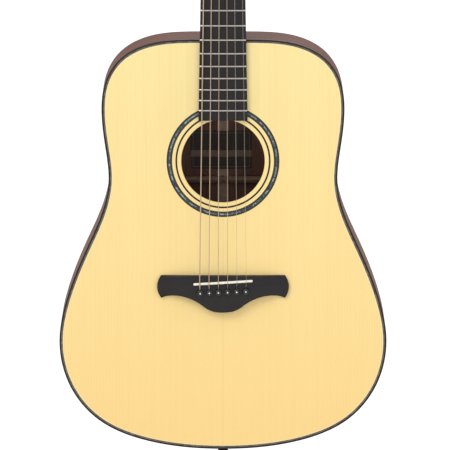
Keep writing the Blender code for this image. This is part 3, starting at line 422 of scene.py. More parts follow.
def make_woods():
    mahogany = ((0.085, 0.030, 0.017), (0.235, 0.085, 0.045))
    ebony = ((0.0045, 0.0035, 0.0040), (0.0150, 0.0115, 0.0110))
    even = (60, 60, 60)
    spruce()
    # Same mahogany as the back, coloured darker as painted shade on the ribs, with a duller, less glossy
    # finish.
    wood("mahogany_sides_painted_shade", (0.066, 0.021, 0.013), (0.185, 0.060, 0.034), (22, 650, 22), 0.5, 0.03,
         specular=0.03)
    wood("mahogany_back", *mahogany, (330, 60, 14), 0.36, 0.3, matched=True)
    wood("mahogany_inside", (0.105, 0.054, 0.042), (0.290, 0.152, 0.110), (330, 60, 14), 0.8, 0.0,
         matched=True, specular=0.1)
    wood("mahogany_neck", *mahogany, (420, 420, 14), 0.42, 0.25)
    wood("mahogany_block", *mahogany, (420, 420, 20), 0.75, 0.0)
    wood("brace_spruce", (0.42, 0.27, 0.13), (0.66, 0.48, 0.27), (500, 500, 18), 0.75, 0.0, 0.15)
    wood("brace_spruce_across", (0.20, 0.12, 0.09), (0.36, 0.24, 0.17), (18, 500, 500), 0.75, 0.0, 0.15)
    wood("strip_spruce", (0.30, 0.20, 0.15), (0.52, 0.38, 0.29), (40, 400, 400), 0.8, 0.0, 0.15)
    wood("fretboard_wood", *ebony, (520, 520, 20), 0.46, 0.0, 0.8, specular=0.3)
    wood("bridge_wood", *ebony, (20, 520, 520), 0.44, 0.0, 0.8, specular=0.3)
    wood("headstock_wood", *ebony, (420, 60, 16), 0.25, 0.7, 0.4)
    wood("dark_binding", (0.016, 0.012, 0.012), (0.046, 0.034, 0.032), even, 0.45, 0.05, 0.1, specular=0.12)
    wood("dark_brown_line", (0.012, 0.005, 0.003), (0.040, 0.018, 0.011), even, 0.4, 0.1, 0.1, specular=0.2)
    wood("brown_line", (0.09, 0.045, 0.02), (0.17, 0.09, 0.05), even, 0.4, 0.4, 0.1)
    wood("cream_line", (0.72, 0.66, 0.46), (0.86, 0.80, 0.60), even, 0.4, 0.4, 0.05)


def make_shells():
    shell("shell_rosette", ((0.10, (0.008, 0.016, 0.026)), (0.36, (0.020, 0.042, 0.060)),
                            (0.50, (0.050, 0.075, 0.075)), (0.58, (0.10, 0.14, 0.10)),
                            (0.68, (0.30, 0.38, 0.38)), (0.78, (0.32, 0.20, 0.24)),
                            (0.9, (0.66, 0.70, 0.62))), 420)
    shell("shell_rim", ((0.15, (0.035, 0.032, 0.022)), (0.40, (0.075, 0.068, 0.042)),
                        (0.60, (0.105, 0.098, 0.066)), (0.85, (0.20, 0.19, 0.14))), 420, 0.25)
    shell("pearl_dot", ((0.2, (0.60, 0.60, 0.56)), (0.5, (0.82, 0.83, 0.80)), (0.8, (0.92, 0.88, 0.84))), 500)


def make_materials():
    make_woods()
    make_shells()
    smooth_stuff("pearl_button", (0.80, 0.76, 0.64), (0.66, 0.61, 0.48), 170, 0.22, 0.5, 0.15)
    smooth_stuff("bone", (0.84, 0.80, 0.68), (0.74, 0.69, 0.55), 260, 0.35, 0.2, 0.15)
    smooth_stuff("black_plastic", (0.006, 0.006, 0.006), (0.012, 0.011, 0.011), 240, 0.35, 0.0)
    metal("nickel", (0.74, 0.72, 0.69), 0.22)
    metal("fret_metal", (0.56, 0.51, 0.47), 0.30)
    metal("steel", (0.56, 0.56, 0.57), 0.33)
    metal("gear_brass", (0.72, 0.55, 0.30), 0.32)
    wound()
    plain_string()
    card()


# Curves.

def smooth_loop(knots, count):
    """Points along the closed cubic spline through the knots, evenly spread along it."""
    knots = np.array(knots, float)
    following = np.roll(knots, -1, 0)
    before = np.roll(knots, 1, 0)
    span = np.linalg.norm(following - knots, axis=1)
    past = np.roll(span, 1)
    size = len(knots)
    system = np.zeros((size, size))
    for row in range(size):
        system[row, row - 1] += span[row]
        system[row, row] += 2 * (past[row] + span[row])
        system[row, (row + 1) % size] += past[row]
    rise = 3 * (span[:, None] * (knots - before) / past[:, None]
                + past[:, None] * (following - knots) / span[:, None])
    slope = np.linalg.solve(system, rise)
    start = np.concatenate([[0], np.cumsum(span)])
    place = np.linspace(0, start[-1], count, endpoint=False)
    index = np.clip(np.searchsorted(start, place, side="right") - 1, 0, size - 1)
    t = ((place - start[index]) / span[index])[:, None]
    reach = span[index][:, None]
    return ((2 * t**3 - 3 * t**2 + 1) * knots[index] + (t**3 - 2 * t**2 + t) * slope[index] * reach
            + (3 * t**2 - 2 * t**3) * following[index]
            + (t**3 - t**2) * np.roll(slope, -1, 0)[index] * reach)


def body_rim():
    """Rim points of the body and their outward normals, from the tail up the treble side and round."""
    right = [(x, from_tail(z)) for x, z in BODY_SHAPE]
    left = [(-x, z) for x, z in right[-2:0:-1]]
    dense = smooth_loop(right + left, 6400)
    half = dense[:3201]
    length = np.concatenate([[0], np.cumsum(np.linalg.norm(np.diff(half, axis=0), axis=1))])
    chosen = np.searchsorted(length, np.linspace(0, length[-1], RIM_POINTS // 2 + 1)).clip(0, 3200)
    tangent = np.gradient(dense, axis=0)
    normal = np.stack([tangent[:, 1], -tangent[:, 0]], 1)
    normal /= np.linalg.norm(normal, axis=1)[:, None]
    points, normals = half[chosen], normal[chosen]
    points[[0, -1], 0] = 0
    normals[0], normals[-1] = (0, -1), (0, 1)
    mirror = np.array([-1, 1])
    return (np.concatenate([points, (points * mirror)[-2:0:-1]]),
            np.concatenate([normals, (normals * mirror)[-2:0:-1]]))


RIM, RIM_NORMAL = body_rim()


def rim_inset(distance):
    return RIM - distance * RIM_NORMAL


# Mesh helpers.

def orient(bm):
    """Turn every face of one closed skin outwards."""
    bmesh.ops.recalc_face_normals(bm, faces=bm.faces)
    if bm.calc_volume(signed=True) < 0:
        bmesh.ops.reverse_faces(bm, faces=bm.faces)


def link_object(name, data):
    obj = bpy.data.objects.new(name, data)
    bpy.context.scene.collection.objects.link(obj)
    return obj


def make_piece(name, bm, look, slot, body="guitar_body", smooth=35):
    """Finish a bmesh as a piece that rides on a body, with its material; its record slot is not used."""
    mesh = bpy.data.meshes.new(name)
    bm.to_mesh(mesh)
    bm.free()
    if smooth:
        mesh.shade_smooth()
        mesh.set_sharp_from_angle(angle=math.radians(smooth))
    obj = link_object(name, mesh)
    if look:
        mesh.materials.append(MATERIALS[look])
        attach(obj, body)
    return obj


def add_skin(bm, rings, closed=False, matrix=None):
    """Skin a row of point rings into bm, facing outwards; an open row gets a cap at each end."""
    part = bmesh.new()
    rows = [[part.verts.new(matrix @ Vector(p) if matrix else p) for p in ring] for ring in rings]
    pairs = list(zip(rows, rows[1:]))
    if closed:
        pairs.append((rows[-1], rows[0]))
    for low, high in pairs:
        for i in range(len(low)):
            j = (i + 1) % len(low)
            part.faces.new((low[i], low[j], high[j], high[i]))
    if not closed:
        part.faces.new(rows[0][::-1])
        part.faces.new(rows[-1])
    orient(part)
    mesh = bpy.data.meshes.new("part")
    part.to_mesh(mesh)
    part.free()
    bm.from_mesh(mesh)
    bpy.data.meshes.remove(mesh)


def skinned(name, rings, look, slot, closed=False, matrix=None, **more):
    bm = bmesh.new()
    add_skin(bm, rings, closed, matrix)
    return make_piece(name, bm, look, slot, **more)


def moved(rings, matrix):
    return [[matrix @ Vector(p) for p in ring] for ring in rings]


def corner(radius, steps=4):
    """Points of a rounded edge, as how far each is from the side and from the face."""
    turns = [math.pi / 2 * i / steps for i in range(steps + 1)]
    return [(radius * (1 - math.sin(a)), radius * (1 - math.cos(a))) for a in turns]


def angles_round(count):
    return [2 * math.pi * i / count for i in range(count)]


def circle(radius, level, count):
    return [(radius * math.cos(a), radius * math.sin(a), level) for a in angles_round(count)]


def turned_rings(profile, count=32):
    return [circle(radius, level, count) for radius, level in profile]


def ring_rings(section, count=RING_SIDES):
    """Rings of a closed (radius, level) section carried round local Z."""
    return [[(r * math.cos(a), r * math.sin(a), level) for r, level in section] for a in angles_round(count)]


def facing_front(x, z):
    """Place for a piece made about local Z, so that +Z points out of the soundboard."""
    return Matrix.Translation((x, 0, z)) @ Matrix.Rotation(math.pi / 2, 4, "X")


def rounded_prism(outline, low, high, edge=0.0004, steps=3):
    """Rings of an outline of (x, y) points raised along Z, with rounded upper and lower edges."""
    points = np.array(outline, float)
    tangent = np.roll(points, -1, 0) - np.roll(points, 1, 0)
    normal = np.stack([tangent[:, 1], -tangent[:, 0]], 1)
    normal /= np.linalg.norm(normal, axis=1)[:, None]
    area = 0.5 * np.sum(points[:, 0] * np.roll(points[:, 1], -1) - np.roll(points[:, 0], -1) * points[:, 1])
    inward = -normal if area > 0 else normal
    levels = [(inset, low + rise) for inset, rise in corner(edge, steps)]
    levels += [(rise, high - inset) for inset, rise in corner(edge, steps)]
    return [[(x, y, level) for x, y in points + inset * inward] for inset, level in levels]


def triangulate(mesh):
    """Split every face into triangles, so that a cut leaves no wide face with holes in it."""
    bm = bmesh.new()
    bm.from_mesh(mesh)
    bmesh.ops.triangulate(bm, faces=bm.faces)
    bm.to_mesh(mesh)
    bm.free()


def apply_cut(piece, rings_list, operation="DIFFERENCE", matrix=None):
    """Cut, or join, closed skins from a piece and keep the result in its mesh."""
    bm = bmesh.new()
    for rings in rings_list:
        add_skin(bm, rings, False, matrix)
    tool = make_piece("tool", bm, None, None, smooth=0)
    triangulate(piece.data)
    triangulate(tool.data)
    modifier = piece.modifiers.new("cut", "BOOLEAN")
    modifier.operation = operation
    modifier.solver = "MANIFOLD"
    modifier.object = tool
    graph = bpy.context.evaluated_depsgraph_get()
    mesh = bpy.data.meshes.new_from_object(piece.evaluated_get(graph))
    piece.modifiers.clear()
    old = piece.data
    piece.data = mesh
    bpy.data.meshes.remove(old)
    mesh.name = piece.name
    bpy.data.objects.remove(tool)
    mesh.shade_smooth()
    mesh.set_sharp_from_angle(angle=math.radians(32))


def box_rings(low, high):
    outline = ((low[0], low[1]), (high[0], low[1]), (high[0], high[1]), (low[0], high[1]))
    return [[(x, y, z) for x, y in outline] for z in (low[2], high[2])]


# Body.

def on_front(depth):
    return lambda x, z: depth


def on_back(depth):
    return lambda x, z: back_y(x, z) - depth


def rim_piece(name, section, look, slot):
    """Closed ring round the body from (inset, depth rule) pairs."""
    loops = [rim_inset(inset) for inset, _ in section]
    rings = []
    for i in range(RIM_POINTS):
        ring = []
        for loop, (_, depth) in zip(loops, section):
            x, z = loop[i]
            ring.append((x, depth(x, z), z))
        rings.append(ring)
    return skinned(name, rings, look, slot, closed=True)


def bindings():
    outline = [(0.0, BINDING_HIGH)] + corner(0.0009) + [(0.0020, 0.0), (0.0020, BINDING_HIGH)]
    for name, rule, replaced in (("binding_top_edge", on_front, None),
                                 ("binding_back_edge", on_back, "back_binding")):
        section = [(inset, rule(depth)) for inset, depth in outline]
        piece = rim_piece(name, section, "dark_binding", "dark_binding")
        if replaced:
            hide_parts(replaced)
    lines = (("purfling_shell", 0.0020, 0.0036, "shell_rim", "abalone"),
             ("purfling_brown_line", 0.0036, 0.0040, "brown_line", "dark_binding"),
             ("purfling_cream_line", 0.0040, SOUNDBOARD_INSET, "cream_line", "bone"))
    face, floor = on_front(0.0), on_front(INLAY_DEEP)
    for name, outer, inner, look, slot in lines:
        piece = rim_piece(name, [(outer, face), (inner, face), (inner, floor), (outer, floor)], look, slot)
        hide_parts("top_binding")


def sides():
    outer, inner = rim_inset(0), rim_inset(SIDE)
    corners = ((outer, on_front(BINDING_HIGH)), (outer, on_back(BINDING_HIGH)),
               (inner, on_back(BINDING_HIGH)), (inner, on_front(BINDING_HIGH)))
    for name, sign in (("side_wood_treble", 1), ("side_wood_bass", -1)):
        rings = []
        for i in range(RIM_POINTS // 2 + 1):
            ring = []
            for loop, rule in corners:
                x, z = loop[i]
                x = max(x, 0.0001)
                ring.append((sign * x, rule(x, z), z))
            rings.append(ring)
        piece = skinned(name, rings, "mahogany_sides_painted_shade", "mahogany")
        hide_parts("side_treble" if sign > 0 else "side_bass")


def hole_edge():
    """(radius, level) of the softened edge of the soundhole, from the top face to the underside."""
    soft = 0.0006
    upper = [(SOUNDHOLE_RADIUS + inset, -depth) for inset, depth in corner(soft)]
    return upper + [(SOUNDHOLE_RADIUS, soft - PLATE), (SOUNDHOLE_RADIUS + soft, -PLATE)]


def soundboard():
    """Flat plate between the rim and the soundhole, skinned along rays from the hole's middle."""
    rim = rim_inset(SOUNDBOARD_INSET)
    under = rim_inset(SIDE)
    rings = []
    for (x, z), (ux, uz) in zip(rim, under):
        angle = math.atan2(z - HOLE_Z, x)
        ring = [(r * math.cos(angle), -level, HOLE_Z + r * math.sin(angle)) for r, level in hole_edge()]
        rings.append(ring + [(ux, PLATE, uz), (ux, INLAY_DEEP, uz), (x, INLAY_DEEP, z), (x, 0.0, z)])
    piece = skinned("soundboard_top", rings, "spruce", "spruce", closed=True)
    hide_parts("soundboard")


def rosette():
    """Flat inlaid rings, a hair proud of the top."""
    place = facing_front(0, HOLE_Z)
    rings = (("rosette_black_outer", 0.0652, 0.0676, "black_plastic", "ebony", "rosette_purfling_ring"),
             ("rosette_black_inner", 0.0610, 0.0634, "black_plastic", "ebony", "rosette_purfling_ring"),
             ("rosette_shell", 0.0634, 0.0652, "shell_rosette", "abalone", "rosette_abalone_ring"),
             ("rosette_fine_ring", 0.0549, 0.0570, "dark_brown_line", "dark_binding", "rosette_inner_ring"))
    for name, inner, outer, look, slot, node in rings:
        section = [(inner, -ROSETTE_DEEP), (outer, -ROSETTE_DEEP), (outer, PROUD), (inner, PROUD)]
        piece = skinned(name, ring_rings(section), look, slot, closed=True, matrix=place)
        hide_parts(node)


def back():
    """Arched plate in shrinking copies of its rim, with finished wood outside and plain wood inside."""
    rim = rim_inset(SIDE)
    centre = np.array([0, from_tail(0.45 * BODY_LENGTH)])
    shares = np.linspace(1, 0.04, 17)
    bm = bmesh.new()
    edges = []
    for thickness in (0.0, PLATE):
        rows = []
        for share in shares:
            loop = centre + share * (rim - centre)
            rows.append([bm.verts.new((x, back_y(x, z) - thickness, z)) for x, z in loop])
        middle = bm.verts.new((0, back_y(0, centre[1]) - thickness, centre[1]))
        for i in range(RIM_POINTS):
            j = (i + 1) % RIM_POINTS
            for wide, narrow in zip(rows, rows[1:]):
                bm.faces.new((wide[i], wide[j], narrow[j], narrow[i]))
            bm.faces.new((rows[-1][i], rows[-1][j], middle))
        edges.append(rows[0])
    for i in range(RIM_POINTS):
        j = (i + 1) % RIM_POINTS
        bm.faces.new((edges[0][i], edges[0][j], edges[1][j], edges[1][i]))
    orient(bm)
    piece = make_piece("back_board", bm, "mahogany_back", "mahogany")
    piece.data.materials.append(MATERIALS["mahogany_inside"])
    for face in piece.data.polygons:
        face.material_index = 1 if face.normal.y < -0.5 else 0
    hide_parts("back_plate")
    back_seam("back_seam_dark", ((-0.0018, 0.0018),), "dark_binding", "dark_binding")
    back_seam("back_seam_lines", ((-0.0024, -0.0018), (0.0018, 0.0024)), "cream_line", "bone")


def back_seam(name, bands, look, slot):
    """Inlaid strips along the back, each from one x to another."""
    margin, steps = 0.0022, 40
    bm = bmesh.new()
    for left, right in bands:
        rows = []
        for i in range(steps + 1):
            z = from_tail(margin) + (BODY_LENGTH - 2 * margin) * i / steps
            low, high = back_y(0, z) - 0.001, back_y(0, z) + PROUD
            rows.append([(left, low, z), (left, high, z), (right, high, z), (right, low, z)])
        add_skin(bm, rows)
    make_piece(name, bm, look, slot)


def label():
    """Blank card glued to the inside of the back, over the centre strip."""
    corner_cut, columns = 0.0015, 24
    strip_half, strip_fall, strip_high = 0.0105, 0.0025, 0.0021
    middle = from_tail(LABEL_FROM_TAIL)
    bm = bmesh.new()
    rows = []
    for i in range(columns + 1):
        x = LABEL_X - LABEL_HALF_WIDE + 2 * LABEL_HALF_WIDE * i / columns
        trim = corner_cut if i in (0, columns) else 0.0
        low, high = middle - LABEL_HALF_HIGH + trim, middle + LABEL_HALF_HIGH - trim
        over_strip = strip_high * max(0.0, min(1.0, (strip_half - abs(x)) / strip_fall))
        rows.append([(x, back_y(x, z) - PLATE - 0.0001 - over_strip - lift, z)
                     for z, lift in ((low, 0.0), (high, 0.0), (high, LABEL_THICK), (low, LABEL_THICK))])
    add_skin(bm, rows)
    make_piece("label_card_blank", bm, "label_card", "dark_binding")


def end_pin():
    y = back_y(0, TAIL_Z) / 2
    profile = [(0.0034, 0.024), (0.0038, 0.0001), (0.0070, 0.0001), (0.0073, -0.0005), (0.0070, -0.0022),
               (0.0056, -0.0032), (0.0046, -0.0045), (0.0044, -0.0062), (0.0046, -0.0078), (0.0056, -0.0092),
               (0.0063, -0.0102), (0.0065, -0.0112), (0.0062, -0.0122), (0.0052, -0.0130), (0.0012, -0.0130)]
    place = Matrix.Translation((0, y, TAIL_Z))
    piece = skinned("strap_pin", turned_rings(profile, 40), "black_plastic", "ebony", matrix=place)
    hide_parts("end_pin")
    dot = [(0.0011, -0.0128), (0.0011, -0.01315), (0.0009, -0.0132)]
    skinned("strap_pin_dot", turned_rings(dot, 24), "pearl_dot", "bone", matrix=place)


# Bridge.

def string_shares():
    return [0.5 - number / 5 for number in range(6)]


def pin_place(share):
    x = share * SPREAD_AT_PINS
    return x, from_tail(PINS_FROM_TAIL) + PIN_SLOPE * x


def bridge_edges(x):
    top = from_tail(BRIDGE_TOP_FROM_TAIL)
    half, drop = zip(*BRIDGE_EDGE)
    if x <= half[-1]:
        return top, top - float(np.interp(x, BRIDGE_FINE[:, 0], BRIDGE_FINE[:, 1]))
    middle, reach = top - drop[-1] / 2, drop[-1] / 2
    bulge = BRIDGE_HALF - half[-1]
    radius = (reach ** 2 + bulge ** 2) / (2 * bulge)
    arc = math.sqrt(max(0.0, radius ** 2 - (x - BRIDGE_HALF + radius) ** 2))
    return middle + arc, middle - arc


def fine_bridge_edge():
    """The lower edge drawn as a smooth curve through its points."""
    right = list(BRIDGE_EDGE)
    far = [(0.10, 0.05), (0.10, -0.05), (-0.10, -0.05), (-0.10, 0.05)]
    loop = right + far + [(-x, drop) for x, drop in right[:0:-1]]
    points = smooth_loop(loop, 4000)
    keep = points[(points[:, 0] >= -1e-6) & (points[:, 0] <= 0.0745) & (points[:, 1] > 0.02)]
    return keep[np.argsort(keep[:, 0])]


BRIDGE_FINE = fine_bridge_edge()


def bridge_height(x):
    shoulder, thin_from, thin = 0.044, 0.072, 0.0035
    share = min(1.0, max(0.0, (x - shoulder) / (thin_from - shoulder)))
    return BRIDGE_THICK - (BRIDGE_THICK - thin) * (1 - math.cos(math.pi * share)) / 2


def saddle_frame():
    turn = Matrix.Rotation(-math.atan(SADDLE_SLOPE), 4, "Y")
    return Matrix.Translation((0, 0, from_tail(SADDLE_FROM_TAIL))) @ turn


def bridge():
    wing = BRIDGE_EDGE[-1][0]
    stations = np.concatenate([np.linspace(0, wing, 64), np.linspace(wing, BRIDGE_HALF - 0.00005, 14)[1:]])
    stations = np.concatenate([-stations[:0:-1], stations])
    rings = []
    for x in stations:
        upper, lower = bridge_edges(abs(x))
        high = bridge_height(abs(x))
        soft = min(0.0014, 0.3 * (upper - lower))
        ring = [(x, 0.0, lower)]
        ring += [(x, -high + inset, lower + depth) for inset, depth in corner(soft)]
        ring += [(x, -high + depth, upper - inset) for inset, depth in corner(soft)]
        ring.append((x, 0.0, upper))
        rings.append(ring)
    piece = skinned("bridge_body", rings, "bridge_wood", "ebony")
    hole, top = PIN_RADIUS + 0.0002, BRIDGE_THICK
    wide = hole + 0.0008
    profile = [(hole, -0.02), (hole, top - 0.0006), (wide, top + 0.0001), (wide, top + 0.01)]
    places = [pin_place(share) for share in string_shares()]
    apply_cut(piece, [moved(turned_rings(profile, 24), facing_front(x, z)) for x, z in places])
    apply_cut(piece, [box_rings((x - 0.0009, -0.02, z), (x + 0.0009, 0.01, z + STRING_BEHIND_PIN + 0.0011))
                      for x, z in places])
    half_long, half_thick = SADDLE_HALF + 0.0002, SADDLE_THICK / 2 + 0.0002
    slot = box_rings((-half_long, -0.03, -half_thick), (half_long, -0.0045, half_thick))
    apply_cut(piece, [slot], matrix=saddle_frame())
    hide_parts("bridge")


def saddle():
    rings = []
    half = SADDLE_THICK / 2
    for i in range(49):
        share = i / 24 - 1
        x = SADDLE_HALF * share
        drop = 0.0010 * max(0.0, (abs(share) - 0.94) / 0.06) ** 2
        crown = camber(x) - SADDLE_HEIGHT + drop
        ring = [(x, -0.0047, -half), (x, crown + half * 0.9, -half)]
        ring += [(x, crown + half * 0.9 * (1 - math.sin(a)), -half * math.cos(a))
                 for a in (math.pi * j / 10 for j in range(1, 10))]
        ring += [(x, crown + half * 0.9, half), (x, -0.0047, half)]
        rings.append(ring)
    piece = skinned("saddle_bone", rings, "bone", "bone", matrix=saddle_frame())
    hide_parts("saddle")


def bridge_pins():
    top, head = BRIDGE_THICK, BRIDGE_THICK + 0.0021
    neck, full = PIN_RADIUS - 0.0001, PIN_HEAD_RADIUS
    profile = [(0.0012, -0.0165), (0.0016, -0.0155), (0.0018, -0.0085), (0.0021, -0.0070), (neck, top),
               (neck, head - 0.0005), (PIN_RADIUS + 0.0003, head - 0.0001), (full - 0.0006, head),
               (full - 0.0001, head + 0.0003), (full, head + 0.0008), (full * 0.96, head + 0.0014),
               (full * 0.86, head + 0.0020), (full * 0.68, head + 0.0026), (full * 0.45, head + 0.0030),
               (full * 0.28, head + 0.0031)]
    dot = [(0.0008, head + 0.0026), (0.0008, head + 0.00312), (0.0006, head + 0.00320),
           (0.0003, head + 0.00324)]
    for number, share in enumerate(string_shares(), 1):
        place = facing_front(*pin_place(share))
        pin = skinned(f"pin_{number}", turned_rings(profile, 32), "black_plastic", "pin_plastic",
                      matrix=place)
        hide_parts(f"bridge_pin_{number}")
        skinned(f"pin_{number}_dot", turned_rings(dot, 20), "pearl_dot", "bone", matrix=place)


# Neck.

def board_half(z):
    share = (-NUT_THICK - z) / (-NUT_THICK - from_tail(BOARD_END_FROM_TAIL))
    return NUT_HALF + (BOARD_END_HALF - NUT_HALF) * share


def fretboard():
    start, end = -NUT_THICK, from_tail(BOARD_END_FROM_TAIL)
    face = BOARD_THICK
    soft = 0.0004
    rings = []
    for z, shrink in ((start, 0.0), (-0.2, 0.0), (-0.4, 0.0), (end + 0.0004, 0.0), (end + 0.0001, 0.00012),
                      (end, 0.0004)):
        half = board_half(z) - shrink
        ring = [(half, 0.0, z), (-half, 0.0, z), (-half, camber(half) - face + soft, z)]
        for i in range(25):
            x = (half - soft) * (i / 12 - 1)
            ring.append((x, camber(x) - face + shrink, z))
        ring.append((half, camber(half) - face + soft, z))
        rings.append(ring)
    piece = skinned("fretboard_wood", rings, "fretboard_wood", "ebony")
    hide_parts("fretboard")
    for number in range(1, FRET_COUNT + 1):
        fret(number, fret_z(number), face)
    for number in (3, 5, 7, 9, 12, 15, 17):
        z = (fret_z(number) + fret_z(number - 1)) / 2
        shifts = (-0.0035, 0.0035) if number == 12 else (0.0,)
        bm = bmesh.new()
        for shift in shifts:
            middle = Matrix.Translation((-board_half(z + shift), -face / 2 - 0.0003, z + shift))
            add_skin(bm, turned_rings([(0.0010, -0.001), (0.0010, 0.00004), (0.0008, 0.00008)], 20),
                     matrix=middle @ Matrix.Rotation(-math.pi / 2, 4, "Y"))
        make_piece(f"side_dot_{number}", bm, "pearl_dot", "bone")


def fret(number, z, face):
    """Crowned wire whose ends slope in over the board's edges."""
    half = board_half(z) - 0.0002
    rings = []
    for i in range(23):
        share = i / 11 - 1
        x = half * share
        end = max(0.0, (abs(x) - (half - 0.0012)) / 0.0012)
        rise = 0.0011 * (1 - 0.75 * end * end)
        wide = 0.0009
        ring = [(x, camber(x) - face + 0.0006, z - wide), (x, camber(x) - face, z - wide)]
        for j in range(1, 8):
            a = math.pi * j / 8
            ring.append((x, camber(x) - face - rise * math.sin(a) ** 0.8, z - wide * math.cos(a)))
        ring += [(x, camber(x) - face, z + wide), (x, camber(x) - face + 0.0006, z + wide)]
        rings.append(ring)
    skinned(f"fret_{number}", rings, "fret_metal", "nickel")


def neck_ring(z, half, depth, heel, top=0.0):
    """Section of the neck: a rounded D that turns into the heel's tapering blade."""
    ring = []
    for i in range(NECK_SIDES + 1):
        angle = math.pi * i / NECK_SIDES
        across = math.copysign(abs(math.cos(angle)) ** 0.87, math.cos(angle))
        down = math.sin(angle) ** 0.87
        blade = HEEL_CAP_HALF + (half - HEEL_CAP_HALF) * (1 - down) ** 1.8
        blade = math.copysign(blade, across)
        if i == NECK_SIDES // 2:
            blade = 0.0
        if heel > 0.9 and down > 0.985:
            blade = HEEL_CAP_HALF * across / abs(math.cos(math.asin(0.985))) ** 0.87
        x = (1 - heel) * half * across + heel * blade
        ring.append((x, top + (depth - top) * down, z))
    return ring


def neck_rings():
    heel_top = BODY_TOP_Z + HEEL_CAP_LONG
    curve_top = heel_top + HEEL_CURVE_LONG
    full = HEEL_DEPTH - HEEL_CAP
    rings = []
    curls = [1 - math.cos(math.pi / 2 * k / 24) for k in range(24, 0, -1)]
    stations = [(BODY_TOP_Z + 0.0001, 1.0), (BODY_TOP_Z + 0.009, 1.0)]
    stations += [(heel_top + HEEL_CURVE_LONG * (1 - curl), curl) for curl in curls]
    for z, curl in stations:
        heel = 1 - math.sqrt(max(0.0, 1 - curl * curl))
        depth = NECK_DEPTH_AT_HEEL + (full - NECK_DEPTH_AT_HEEL) * heel
        rings.append(neck_ring(z, board_half(z), depth, heel))
    for i in range(9):
        share = i / 8
        z = curve_top + (-NUT_THICK - curve_top) * share
        depth = NECK_DEPTH_AT_HEEL + (NECK_DEPTH_AT_NUT - NECK_DEPTH_AT_HEEL) * share
        rings.append(neck_ring(z, board_half(z), depth, 0.0))
    rings.append(neck_ring(0.0, NUT_HALF - 0.0002, NECK_DEPTH_AT_NUT, 0.0, GAP))
    end = 0.014
    top = end * math.tan(HEAD_TILT) + 0.0005
    rings.append(neck_ring(end, NUT_HALF - 0.0003, NECK_DEPTH_AT_NUT + 0.001, 0.0, top))
    return rings


def head_outline(inset=0.0, start=0):
    """Outline of the headstock, its curves drawn as a smooth spline through their points."""
    right = HEAD_SHAPE[start:]
    straight_from = (0.0312, 0.034)
    fine = []
    for k in range(len(right) - 1):
        before, here = right[max(k - 1, 0)], right[k]
        there, after = right[k + 1], right[min(k + 2, len(right) - 1)]
        steps = 1 if here == straight_from else 4
        for step in range(steps):
            t = step / steps
            fine.append(tuple(0.5 * (2 * q + (r - p) * t + (2 * p - 5 * q + 4 * r - s) * t**2
                                     + (3 * q - p - 3 * r + s) * t**3) if steps > 1 else q
                              for p, q, r, s in zip(before, here, there, after)))
    fine = [(x - inset, y - (inset if y > 0.17 else 0.0)) for x, y in fine]
    return fine + [(0.0, right[-1][1] - inset)] + [(-x, y) for x, y in fine[::-1]]


def post_places():
    """(string number, side sign, local x, local y) of each tuner."""
    places = []
    for number in range(1, 7):
        sign = 1 if number <= 3 else -1
        row = number - 1 if sign > 0 else 6 - number
        places.append((number, sign, sign * POST_ACROSS, POST_ALONG[row]))
    return places


def post_holes(radius, low, high):
    hole = turned_rings([(radius, low), (radius, high)], 32)
    return [moved(hole, Matrix.Translation((x, y, 0))) for _, _, x, y in post_places()]


def neck():
    piece = skinned("neck_wood", neck_rings(), "mahogany_neck", "mahogany")
    blank = rounded_prism(head_outline(), -HEAD_THICK, 0.0, edge=0.0014, steps=4)
    apply_cut(piece, [blank], "UNION", HEAD_FRAME)
    apply_cut(piece, post_holes(POST_RADIUS + 0.0004, -0.02, 0.01), matrix=HEAD_FRAME)
    channel = box_rings((-TRUSS_RADIUS - GAP, -0.001, BODY_TOP_Z + 0.004),
                        (TRUSS_RADIUS + GAP, TRUSS_AXIS_Y + TRUSS_RADIUS + GAP, 0.002))
    apply_cut(piece, [channel])
    room = TRUSS_NUT_RADIUS + 0.0011
    apply_cut(piece, [box_rings((-room, -0.006, 0.001), (room, TRUSS_AXIS_Y + room, 0.018))])
    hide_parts("neck")
    heel_cap()


def heel_cap():
    """Thin dark plate on the end of the heel."""
    low, high = HEEL_DEPTH - HEEL_CAP, HEEL_DEPTH
    start, end = BODY_TOP_Z + 0.0001, BODY_TOP_Z + HEEL_CAP_LONG
    outline = [(HEEL_CAP_HALF, start)]
    for i in range(25):
        a = math.pi * i / 24
        outline.append((HEEL_CAP_HALF * math.cos(a), end - 0.008 + 0.008 * math.sin(a)))
    outline.append((-HEEL_CAP_HALF, start))
    rings = rounded_prism(outline, low, high, edge=0.0005)
    matrix = Matrix(((1, 0, 0, 0), (0, 0, 1, 0), (0, 1, 0, 0), (0, 0, 0, 1)))
    skinned("heel_cap", rings, "dark_binding", "dark_binding", matrix=matrix)


def truss_rod():
    profile = [(0.0034, 0.0031), (TRUSS_NUT_RADIUS, 0.0036), (TRUSS_NUT_RADIUS, 0.0134), (0.0031, 0.0140)]
    place = Matrix.Translation((0, TRUSS_AXIS_Y, 0))
    piece = skinned("truss_adjuster", turned_rings(profile, 6), "gear_brass", "steel", body="truss_rod_nut",
                    matrix=place, smooth=0)
    apply_cut(piece, [turned_rings([(0.0020, 0.0010), (0.0020, 0.0085)], 20)], matrix=place)
    apply_cut(piece, [turned_rings([(0.0018, 0.0100), (0.0018, 0.0160)], 6)], matrix=place)
    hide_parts("truss_rod_nut")


def screw(bm, place, radius=0.0014, high=0.0006):
    """Domed head with a cross recess."""
    count, recess = 24, 0.60
    rings = [circle(radius, -0.0005, count)]
    for share, level in ((1.0, 0.0), (1.0, 0.3), (0.86, 0.75), (0.62, 1.0), (recess, 0.95), (0.58, 0.2),
                         (0.2, 0.1)):
        ring = []
        for a in angles_round(count):
            star = 0.45 + 0.55 * abs(math.cos(2 * a)) ** 3 if share <= recess else 1.0
            reach = share * star * radius
            ring.append((reach * math.cos(a), reach * math.sin(a), level * high))
        rings.append(ring)
    add_skin(bm, rings, False, place)


